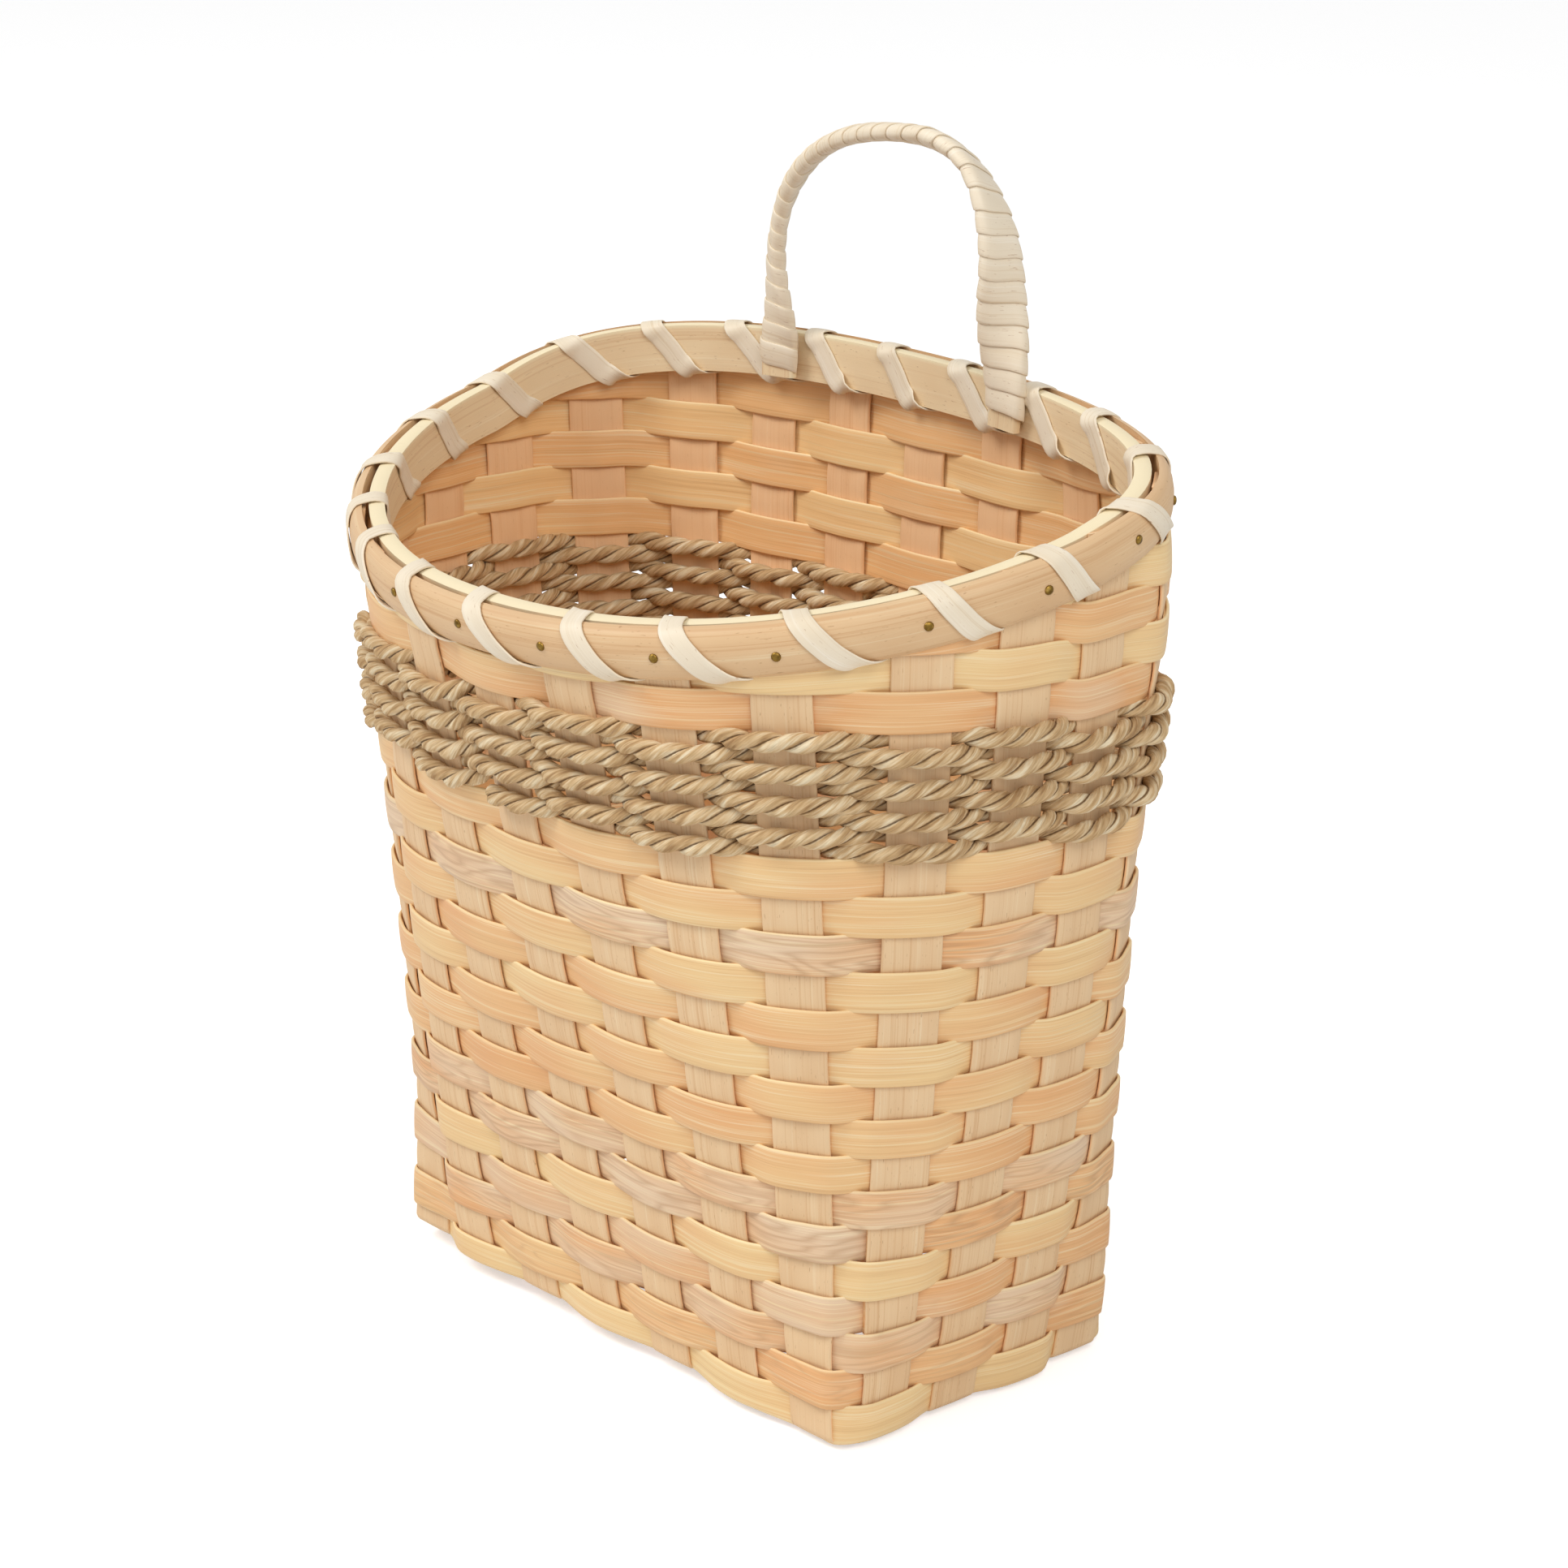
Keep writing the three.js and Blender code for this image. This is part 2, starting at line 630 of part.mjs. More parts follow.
// Handle: middle line with a frame that turns from the hoop's face to the arch's outer face.
const FOOT_INSIDE = innerFace + WRAP_THICKNESS + 2 * SEAT_GAP + HANDLE_THICKNESS / 2;
function footFrame(side) {
  const x = HANDLE_CENTRE_X + (side * HANDLE_SPAN) / 2;
  let angle = Math.atan2(GIRTH_BACK_DEPTH, x);
  for (let k = 0; k < 8; k++) angle += (rimPoint(angle).x - x) / Math.hypot(rimPoint(angle).x, rimPoint(angle).y);
  return rimFrame(angle);
}

function handleStations() {
  const radius = HANDLE_SPAN / 2;
  const leg = (side) => {
    const f = footFrame(side);
    const low = along(f.p, [f.out, -FOOT_INSIDE], [f.up, -FOOT_DROP]);
    const high = along(f.p, [f.out, -FOOT_INSIDE], [f.up, RIM_HEIGHT / 2 + 1]);
    const spring = vec(HANDLE_CENTRE_X + side * radius, high.y, HANDLE_SPRING_LEVEL);
    const rise = spring.z - high.z + (radius * Math.PI) / 2;
    const front = f.out.clone().negate();
    const part = (p, share) => ({ p, front, turn: twist((share * (spring.z - high.z)) / rise) });
    return {
      spring,
      rise,
      stations: [
        { p: low, front, turn: 0 },
        { p: high, front, turn: 0 },
        part(high.clone().lerp(spring, 0.3), 0.3),
        part(high.clone().lerp(spring, 0.65), 0.65),
      ],
    };
  };
  const twist = (share) => Math.pow(share, HANDLE_TWIST_FADE);
  const [left, right] = [leg(-1), leg(1)];
  const arch = [];
  for (let k = 0; k <= HANDLE_ARCH_STEPS; k++) {
    const angle = Math.PI - (Math.PI * k) / HANDLE_ARCH_STEPS;
    const end = k < HANDLE_ARCH_STEPS / 2 ? left : right;
    const travelled = end.rise - radius * Math.abs(angle - Math.PI / 2);
    const y = mix(left.spring.y, right.spring.y, k / HANDLE_ARCH_STEPS);
    const z = HANDLE_SPRING_LEVEL + radius * Math.sin(angle);
    const p = vec(HANDLE_CENTRE_X + radius * Math.cos(angle), y, z);
    arch.push({ p, front: vec(0, -1, 0), turn: twist(travelled / end.rise) });
  }
  return [...left.stations, ...arch, ...right.stations.reverse()];
}

function handleFrames() {
  const stations = handleStations();
  const last = stations.length - 1;
  return stations.map((s, k) => {
    const way = stations[Math.min(k + 1, last)].p.clone().sub(stations[Math.max(k - 1, 0)].p);
    way.normalize();
    const radial = way.clone().cross(vec(0, 1, 0)).normalize();
    const front = s.front.clone().addScaledVector(way, -s.front.dot(way)).normalize();
    const angle = (s.turn * Math.PI) / 2;
    const out = front.multiplyScalar(Math.cos(angle)).addScaledVector(radial, Math.sin(angle));
    out.normalize();
    return { p: s.p, out, round: way.clone().cross(out).normalize() };
  });
}

function handleRing(f, grow) {
  const w = HANDLE_WIDTH / 2 + grow;
  const t = HANDLE_THICKNESS / 2 + grow;
  const shape = [[-w, 0], [t - w, t], [w - t, t], [w, 0], [w - t, -t], [t - w, -t]];
  return shape.map(([a, b]) => along(f.p, [f.round, a], [f.out, b]));
}

const handleCore = () => sweep(handleFrames().map((f) => handleRing(f, 0)));

// The wound strip as a sleeve with both ends open.
function handleWrap() {
  const frames = handleFrames();
  const outer = frames.map((f) => handleRing(f, SEAT_GAP + WRAP_THICKNESS));
  const inner = frames.map((f) => handleRing(f, SEAT_GAP));
  const count = outer[0].length;
  const base = frames.length * count;
  const quads = [];
  for (let k = 0; k < count; k++) {
    const n = (k + 1) % count;
    for (let a = 0; a < base - count; a += count) {
      quads.push([a + k, a + count + k, a + count + n, a + n]);
      quads.push([base + a + k, base + a + n, base + a + count + n, base + a + count + k]);
    }
    const e = base - count;
    quads.push([k, n, base + n, base + k], [e + k, base + e + k, base + e + n, e + n]);
  }
  return closeUp([...outer, ...inner].flat(), quads, []);
}

// Brads.
function bradFrame(index) {
  return rimFrame(angleOf(stakePoint(index, RIM_SIDE_LEVEL).point));
}

function lathe(profile, sides, f) {
  const rings = profile.filter(([r]) => r > 0).map(([r, y]) =>
    Array.from({ length: sides }, (_, k) => {
      const turn = (k * 2 * Math.PI) / sides;
      return along(f.p, [f.round, r * Math.cos(turn)], [f.up, r * Math.sin(turn)], [f.out, y]);
    }),
  );
  return sweep(rings);
}

const BRAD_IN = -HOOP_OFFSET - BRAD_REACH;
function brad(index) {
  const f = bradFrame(index);
  const seat = outerFace + 0.1;
  const head = BRAD_HEAD_DIAMETER / 2;
  const shank = BRAD_SHANK_DIAMETER / 2;
  const profile = [
    [shank, BRAD_IN],
    [shank, seat],
    [head, seat],
    [head * 0.55, seat + BRAD_HEAD_HEIGHT],
  ];
  return lathe(profile, BRAD_SIDES, f);
}

const bore = (index, from, to) => {
  const f = bradFrame(index);
  const profile = [
    [BRAD_BORE_DIAMETER / 2, from],
    [BRAD_BORE_DIAMETER / 2, to],
  ];
  return solid(lathe(profile, BRAD_SIDES, f));
};

// Assembly.
const WOOD = 0xd9b48c;
const BRADDED = [0, 1, 2, 3, 4, 5, 6, 7, 8, 9, 10, 11, 12, 16, 17, 18, 19, 20, 21];
let outerHoop = solid(hoop(outerProfile));
let innerHoop = solid(hoop(innerProfile));
for (const index of BRADDED) {
  outerHoop = outerHoop.subtract(bore(index, HOOP_OFFSET - BORE_THROUGH, outerFace + BORE_THROUGH));
  innerHoop = innerHoop.subtract(bore(index, BRAD_IN - BORE_DEEPER, BORE_THROUGH - HOOP_OFFSET));
}

for (let index = 0; index < FRONT_STAKES + SIDE_STAKES; index++) {
  const half = STAKES / 2;
  const other = index < FRONT_STAKES ? half + FRONT_STAKES - 1 - index : half + 2 * FRONT_STAKES + SIDE_STAKES - 1 - index;
  let strip = solid(upright(index));
  for (const end of [index, other]) {
    if (BRADDED.includes(end)) strip = strip.subtract(bore(end, -BORE_THROUGH, BORE_THROUGH));
  }
  const name = index < FRONT_STAKES ? "cross_strip_" : "long_strip_";
  add(name + STRIP_NAMES[index], strip, WOOD, 0.75);
}

for (let row = 1; row <= LOWER_ROWS; row++) {
  const bottom = row === 1 ? FIRST_ROW_BOTTOM : FIRST_ROW_TOP + (row - 2) * ROW_PITCH + ROW_GAP / 2;
  const roof = FIRST_ROW_TOP + (row - 1) * ROW_PITCH - ROW_GAP / 2;
  add("weaver_row_" + String(row).padStart(2, "0"), rowSolid(row, bottom, roof), row % 2 ? 0xd99a5e : 0xdcae78, 0.6);
}

for (let k = 1; k <= UPPER_ROWS; k++) {
  const row = LOWER_ROWS + k;
  const bottom = UPPER_BOTTOM + (k - 1) * ROW_PITCH + ROW_GAP / 2;
  add("weaver_row_" + row, rowSolid(row, bottom, bottom + ROW_PITCH - ROW_GAP), row % 2 ? 0xd98f50 : 0xdfb070, 0.6);
}

for (let strand = 0; strand < ROPE_STRANDS; strand++) {
  const path = strandPath(strand);
  console.log("strand", strand + 1, "least gap to itself", strandGap(path).toFixed(2), "mm");
  add("seagrass_strand_" + (strand + 1), tube(path, ROPE_DIAMETER / 2, ROPE_SIDES), 0x9a8058, 0.9);
}

add("rim_inner_hoop", innerHoop, 0xe3c79a, 0.6);
add("rim_outer_hoop", outerHoop, 0xdfba88, 0.6);
add("rim_lashing", lashing(), 0xe9dcc4, 0.5);
add("handle_core", handleCore(), 0xd8b98c, 0.6);
add("handle_wrap", handleWrap(), 0xe8d8c0, 0.5);
for (const index of BRADDED) {
  add("brad_" + String(index + 1).padStart(2, "0"), brad(index), 0x8a7436, 0.4, 0.8);
}

// The frame's origin is under the middle of the whole part, on the surface that it stands on.
const extent = new THREE.Box3().setFromObject(group);
const middle = extent.getCenter(vec(0, 0, 0));
group.position.set(-middle.x, -middle.y, -extent.min.z);
console.log("frame shift", group.position.toArray().map((v) => v.toFixed(3)).join(" "));

export default group;
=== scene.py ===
import functools
import math

import bmesh
import bpy
import numpy as np
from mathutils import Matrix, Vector


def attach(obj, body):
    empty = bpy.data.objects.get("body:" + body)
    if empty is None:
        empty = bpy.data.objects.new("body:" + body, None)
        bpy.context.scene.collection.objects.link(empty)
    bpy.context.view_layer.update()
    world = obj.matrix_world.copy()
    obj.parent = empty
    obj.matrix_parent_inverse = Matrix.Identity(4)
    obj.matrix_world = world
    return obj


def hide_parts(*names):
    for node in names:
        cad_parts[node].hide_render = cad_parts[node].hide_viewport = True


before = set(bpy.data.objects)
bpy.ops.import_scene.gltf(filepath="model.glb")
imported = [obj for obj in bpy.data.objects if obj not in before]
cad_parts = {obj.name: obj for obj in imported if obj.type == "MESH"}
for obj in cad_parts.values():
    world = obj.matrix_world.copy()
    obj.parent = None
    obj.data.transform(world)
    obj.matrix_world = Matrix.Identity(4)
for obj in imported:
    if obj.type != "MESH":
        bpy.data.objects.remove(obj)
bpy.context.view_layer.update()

# Camera.
# A long lens looks down a little from the front right of the basket.
# The target, angles and lens were solved from points of the rim and the strips in the photograph.
VIEW_TURN = math.radians(48.85)
VIEW_RISE = math.radians(17.23)
VIEW_DISTANCE = 1.04487
VIEW_TARGET = Vector((0.00850, 0.01636, 0.14155))
view_back = Vector((
    math.sin(VIEW_TURN) * math.cos(VIEW_RISE),
    -math.cos(VIEW_TURN) * math.cos(VIEW_RISE),
    math.sin(VIEW_RISE),
))


def add_object(name, data):
    new = bpy.data.objects.new(name, data)
    bpy.context.scene.collection.objects.link(new)
    return new


lens = bpy.data.cameras.new("camera")
lens.lens = 93.88
lens.sensor_width = 36
lens.sensor_fit = "HORIZONTAL"
lens.clip_end = 20
camera = add_object("camera", lens)
camera.location = VIEW_TARGET + view_back * VIEW_DISTANCE
camera.rotation_euler = view_back.to_track_quat("Z", "Y").to_euler()
bpy.context.scene.camera = camera

# Uprights.
# Eleven thin peeled splints, 15 mm wide and 1 mm thick, are woven over and under one another as the floor,
# seven one way and four the other. They fold up at its edges and run up between the two rim hoops.
# All sizes are in millimetres.
BASE_HALF_WIDTH = 88.6
BASE_HALF_DEPTH = 49.8
GIRTH_LEVEL = 190
GIRTH_HALF_WIDTH = 113.2
GIRTH_FRONT_DEPTH = 86.1
GIRTH_BACK_DEPTH = 56.2
GIRTH_CENTRE_Y = 1.8
BASE_SQUARENESS = 30
FRONT_SQUARENESS = 2.16
BACK_SQUARENESS = 2.93
SQUARENESS_FADE = 0.6
WIDTH_BULGE = 0.36
DEPTH_BULGE = -0.21
FOLD_SETTLE = 60
STAKE_WIDTH = 14.8
STAKE_THICKNESS = 1.0
FRONT_STAKES = 7
SIDE_STAKES = 4
STAKES = 22
BASE_FRONT_PITCH = 26.6
BASE_SIDE_PITCH = 23.4
GIRTH_FRONT_PITCH = 29.5
GIRTH_PITCH_CLOSING = 0.78
GIRTH_SIDE_PITCH = 24
GIRTH_SIDE_CENTRE = -1.5
FOLD_RADIUS = 1.9
ROW_PITCH = 9.5
FIRST_ROW_TOP = 8.5
# How far the hand-laid rows stand above their even levels at each strip: low, half way up and high.
RISE_LEVELS = (45, 95, 150, 185)
LOW_RISE = 3.1
MIDDLE_RISE = [0.2, 0.3, 0.4, 0.5, 0.7, 1.2, 1.6, 2.2, 2.1, 1.3, 0.8] + [0.5] * 11
HIGH_RISE = [0, 0, 0, -0.4, -0.3, 0.9, 2.5, 2.7, 1.7, 0.2] + [0] * 12
# How far the wall leans out at the right back corner and in at the left front one, by height.
LEAN_LEVELS = (0, 40, 80, 120, 150, 175, 195, 215, 228, 238)
RIGHT_LEAN = (-6.0, -5.0, -3.0, -1.6, 0.6, 4.0, 6.8, 7.2, 3.4, 0)
LEFT_LEAN = (4.2, 3.8, 2.2, 1.5, 1.3, 0.9, 0.7, 0.3, 0, 0)
LEANING = {
    10: (RIGHT_LEAN, 0.5), 11: (RIGHT_LEAN, 1.0), 12: (RIGHT_LEAN, 0.5),
    21: (LEFT_LEAN, 1.0), 0: (LEFT_LEAN, 0.4),
}
LEAN_WAY = np.array([0.658, 0.753, 0.0])
# The hoops lean the same way, most at this angle round the mouth, and take the strips' ends with them.
RIM_LEAN = 1.9
RIM_LEAN_ANGLE = 3.73
RIM_LEAN_FROM = 190
RIM_LEAN_HEIGHT = 30
# How far each strip's fold stands clear of the ground, from the left front corner on.
FOLD_RISE = [3.6, 3.2, 2.8, 2.4, 1.8, 0.9] + [0] * 16
LOWER_ROWS = 16
ROPE_PITCH = 3.87
ROPE_COURSES = 8
ROPE_BOTTOM = FIRST_ROW_TOP + (LOWER_ROWS - 1) * ROW_PITCH
UPPER_BOTTOM = ROPE_BOTTOM + ROPE_COURSES * ROPE_PITCH
RIM_SIDE_LEVEL = 223.1
RIM_RISE = 19.6
RIM_ARCH = -5.1
RIM_TILT = -2.6
RIM_SIDE_ARCH = -3
RIM_HEIGHT = 13
# From the middle of the floor to the middle of the whole part.
FRAME_SHIFT = np.array([-0.010, 13.094, 0.0])
# Levels at which a strip bends from one flat length to the next.
BENDS = [0, *(FIRST_ROW_TOP + ROW_PITCH * k for k in (0, 1, 2, 3, 4, 5, 6, 8, 10, 12, 15))]
BENDS += [UPPER_BOTTOM, UPPER_BOTTOM + 3 * ROW_PITCH, RIM_SIDE_LEVEL + 2 * RIM_RISE]
UP = np.array([0.0, 0.0, 1.0])


def mix(a, b, t):
    return a + (b - a) * t


def ease(t):
    t = min(1.0, max(0.0, t))
    return t * t * (3 - 2 * t)


def unit(v):
    return v / np.linalg.norm(v, axis=-1, keepdims=True)


def oval(z):
    """Half width, front and back depth, centre and squareness of the wall at one height."""
    t = z / GIRTH_LEVEL
    wide = t + WIDTH_BULGE * t * (1 - t)
    deep = t + DEPTH_BULGE * t * (1 - t)
    fade = max(t, 0) ** SQUARENESS_FADE
    return (
        mix(BASE_HALF_WIDTH, GIRTH_HALF_WIDTH, wide),
        mix(BASE_HALF_DEPTH, GIRTH_FRONT_DEPTH, deep),
        mix(BASE_HALF_DEPTH, GIRTH_BACK_DEPTH, deep),
        GIRTH_CENTRE_Y * deep,
        1 / mix(1 / BASE_SQUARENESS, 1 / FRONT_SQUARENESS, fade),
        1 / mix(1 / BASE_SQUARENESS, 1 / BACK_SQUARENESS, fade),
    )


def wall_at(angle, z):
    half, front, back, centre, square_front, square_back = oval(z)
    c, d = math.cos(angle), math.sin(angle)
    deep = front if d < 0 else back
    n = square_front if d < 0 else square_back
    r = (abs(c / half) ** n + abs(d / deep) ** n) ** (-1 / n)
    return np.array([r * c, centre + r * d, z]), r * c / half, r * d / deep


def angle_of(p):
    return math.atan2(p[1] - oval(p[2])[3], p[0])


def girth_depth(x, at_front):
    half, front, back, centre, square_front, square_back = oval(GIRTH_LEVEL)
    n = square_front if at_front else square_back
    rest = (1 - (abs(x) / half) ** n) ** (1 / n) * (front if at_front else back)
    return centre - rest if at_front else centre + rest


def girth_width(y):
    half, front, back, centre, square_front, square_back = oval(GIRTH_LEVEL)
    n = square_front if y < centre else square_back
    return half * (1 - (abs(y - centre) / (front if y < centre else back)) ** n) ** (1 / n)


def stake_ends(index):
    """Foot, head and the floor edge's outward direction; strips are counted from the front left corner."""
    far = index >= STAKES // 2
    place = index - STAKES // 2 if far else index
    way = -1 if far else 1
    if place < FRONT_STAKES:
        step = (place - (FRONT_STAKES - 1) / 2) * way
        x = math.copysign(GIRTH_FRONT_PITCH * abs(step) - GIRTH_PITCH_CLOSING * step * step, step)
        foot = (step * BASE_FRONT_PITCH, -way * BASE_HALF_DEPTH)
        return foot, (x, girth_depth(x, not far)), np.array([0.0, -way, 0.0])
    step = (place - FRONT_STAKES - (SIDE_STAKES - 1) / 2) * way
    y = GIRTH_SIDE_CENTRE + step * GIRTH_SIDE_PITCH
    foot = (way * BASE_HALF_WIDTH, step * BASE_SIDE_PITCH)
    return foot, (way * girth_width(y), y), np.array([way, 0.0, 0.0])


ENDS = [stake_ends(k) for k in range(STAKES)]


def stake_point(index, z):
    foot, head, _ = ENDS[index % STAKES]
    t = z / GIRTH_LEVEL
    x = mix(foot[0], head[0], t + WIDTH_BULGE * t * (1 - t))
    y = mix(foot[1], head[1], t + DEPTH_BULGE * t * (1 - t))
    return wall_at(math.atan2(y - oval(z)[3], x), z)[0]


@functools.cache
def bend_frame(index, z):
    """Point, direction round the basket, outward and up on a strip at a bend level."""
    point = stake_point(index, z)
    facing = ENDS[index][2]
    aside = np.cross(UP, facing)
    settle = ease(z / FOLD_SETTLE)
    up = stake_point(index, z + 1) - stake_point(index, max(0, z - 1))
    up = unit(up + aside * ((settle - 1) * up.dot(aside)))
    half = STAKE_WIDTH / 2 / math.hypot(point[0], point[1])
    angle = angle_of(point)
    ahead, behind = wall_at(angle + half, z)[0], wall_at(angle - half, z)[0]
    chord = unit(ahead - behind)
    normal = unit(mix(facing, np.array([chord[1], -chord[0], 0.0]), settle))
    around = unit(np.cross(up, normal))
    inset = ((ahead + behind) / 2 - point).dot(normal) / 2
    return np.array([point + normal * inset * settle, around, np.cross(around, up), up])


def rim_lean(angle):
    return LEAN_WAY * RIM_LEAN * max(0, math.cos(angle - RIM_LEAN_ANGLE)) ** 6


def stake_frame(index, z):
    index %= STAKES
    k = next(n for n, level in enumerate(BENDS) if level > z) - 1
    low, high = BENDS[k], BENDS[k + 1]
    place = mix(bend_frame(index, low), bend_frame(index, high), (z - low) / (high - low))
    if index in LEANING:
        lean, share = LEANING[index]
        place[0] += LEAN_WAY * np.interp(z, LEAN_LEVELS, lean) * share
    place[0] += rim_lean(angle_of(place[0])) * ease((z - RIM_LEAN_FROM) / RIM_LEAN_HEIGHT)
    return place


def row_rise(index, z):
    middle, high = MIDDLE_RISE[index % STAKES], HIGH_RISE[index % STAKES]
    return np.interp(z, RISE_LEVELS, (LOW_RISE, middle, (middle + high) / 2, high))


def rim_point(angle):
    z = RIM_SIDE_LEVEL
    point, across, forth = wall_at(angle, z)
    for _ in range(5):
        z = RIM_SIDE_LEVEL + RIM_RISE * forth + RIM_ARCH * forth**2 + RIM_SIDE_ARCH * across**2
        z += RIM_TILT * across * max(0, forth)
        point, across, forth = wall_at(angle, z)
    return point + rim_lean(angle)


def rim_frame(angle):
    point = rim_point(angle)
    around = unit(rim_point(angle + 0.01) - rim_point(angle - 0.01))
    up = wall_at(angle, point[2] + 1)[0] - wall_at(angle, point[2] - 1)[0]
    up = unit(up - around * up.dot(around))
    return np.array([point, around, np.cross(around, up), up])


def smooth_path(rows, closed, step):
    """Passes a curve with even steps through rows of numbers; the first three of each are its place."""
    rows = np.array(rows, float)
    if closed:
        rows = np.vstack([rows[-1], rows, rows[0], rows[1]])
    else:
        rows = np.vstack([2 * rows[0] - rows[1], rows, 2 * rows[-1] - rows[-2]])
    out = []
    for a, b, c, d in zip(rows, rows[1:], rows[2:], rows[3:]):
        ta, tb, tc = (max(1e-6, np.linalg.norm((q - p)[:3])) for p, q in ((a, b), (b, c), (c, d)))
        before = (b - a) / ta + (c - b) / tb - (c - a) / (ta + tb)
        after = (c - b) / tb + (d - c) / tc - (d - b) / (tb + tc)
        count = max(1, round(tb / step))
        t = (np.arange(count) / count)[:, None]
        out.append(
            (2 * t**3 - 3 * t**2 + 1) * b + (t**3 - 2 * t**2 + t) * before * tb
            + (3 * t**2 - 2 * t**3) * c + (t**3 - t**2) * after * tb
        )
    if not closed:
        out.append(rows[-2:-1])
    return np.vstack(out)


def tint(colour):
    """sRGB hex to linear."""
    parts = [int(colour[k:k + 2], 16) / 255 for k in (1, 3, 5)]
    return [c / 12.92 if c <= 0.04045 else ((c + 0.055) / 1.055) ** 2.4 for c in parts] + [1.0]


def node(tree, kind, inputs=None, stops=(), **settings):
    """Adds one node with its settings and links; an input is a value or the output that feeds it."""
    new = tree.nodes.new(kind)
    for name, value in settings.items():
        setattr(new, name, value)
    for name, value in (inputs or {}).items():
        if isinstance(value, bpy.types.NodeSocket):
            tree.links.new(value, new.inputs[name])
        else:
            new.inputs[name].default_value = value
    for k, (place, colour) in enumerate(stops):
        element = new.color_ramp.elements[k] if k < 2 else new.color_ramp.elements.new(place)
        element.position = place
        element.color = tint(colour)
    return new


def piece_tree(name, sockets):
    """An empty tree with named inputs and one geometry output."""
    tree = bpy.data.node_groups.new(name, "GeometryNodeTree")
    for label, kind in sockets:
        tree.interface.new_socket(label, in_out="INPUT", socket_type="NodeSocket" + kind)
    tree.interface.new_socket("Geometry", in_out="OUTPUT", socket_type="NodeSocketGeometry")
    return tree, node(tree, "NodeGroupInput").outputs


def grow(worker, tree, values):
    """Puts the tree on an object with its inputs set, each by its socket's identifier."""
    change = worker.modifiers.new(tree.name, "NODES")
    change.node_group = tree
    for item in tree.interface.items_tree:
        if item.in_out == "INPUT" and item.name in values:
            change[item.identifier] = values[item.name]


SWELL_WAVES = 0.16


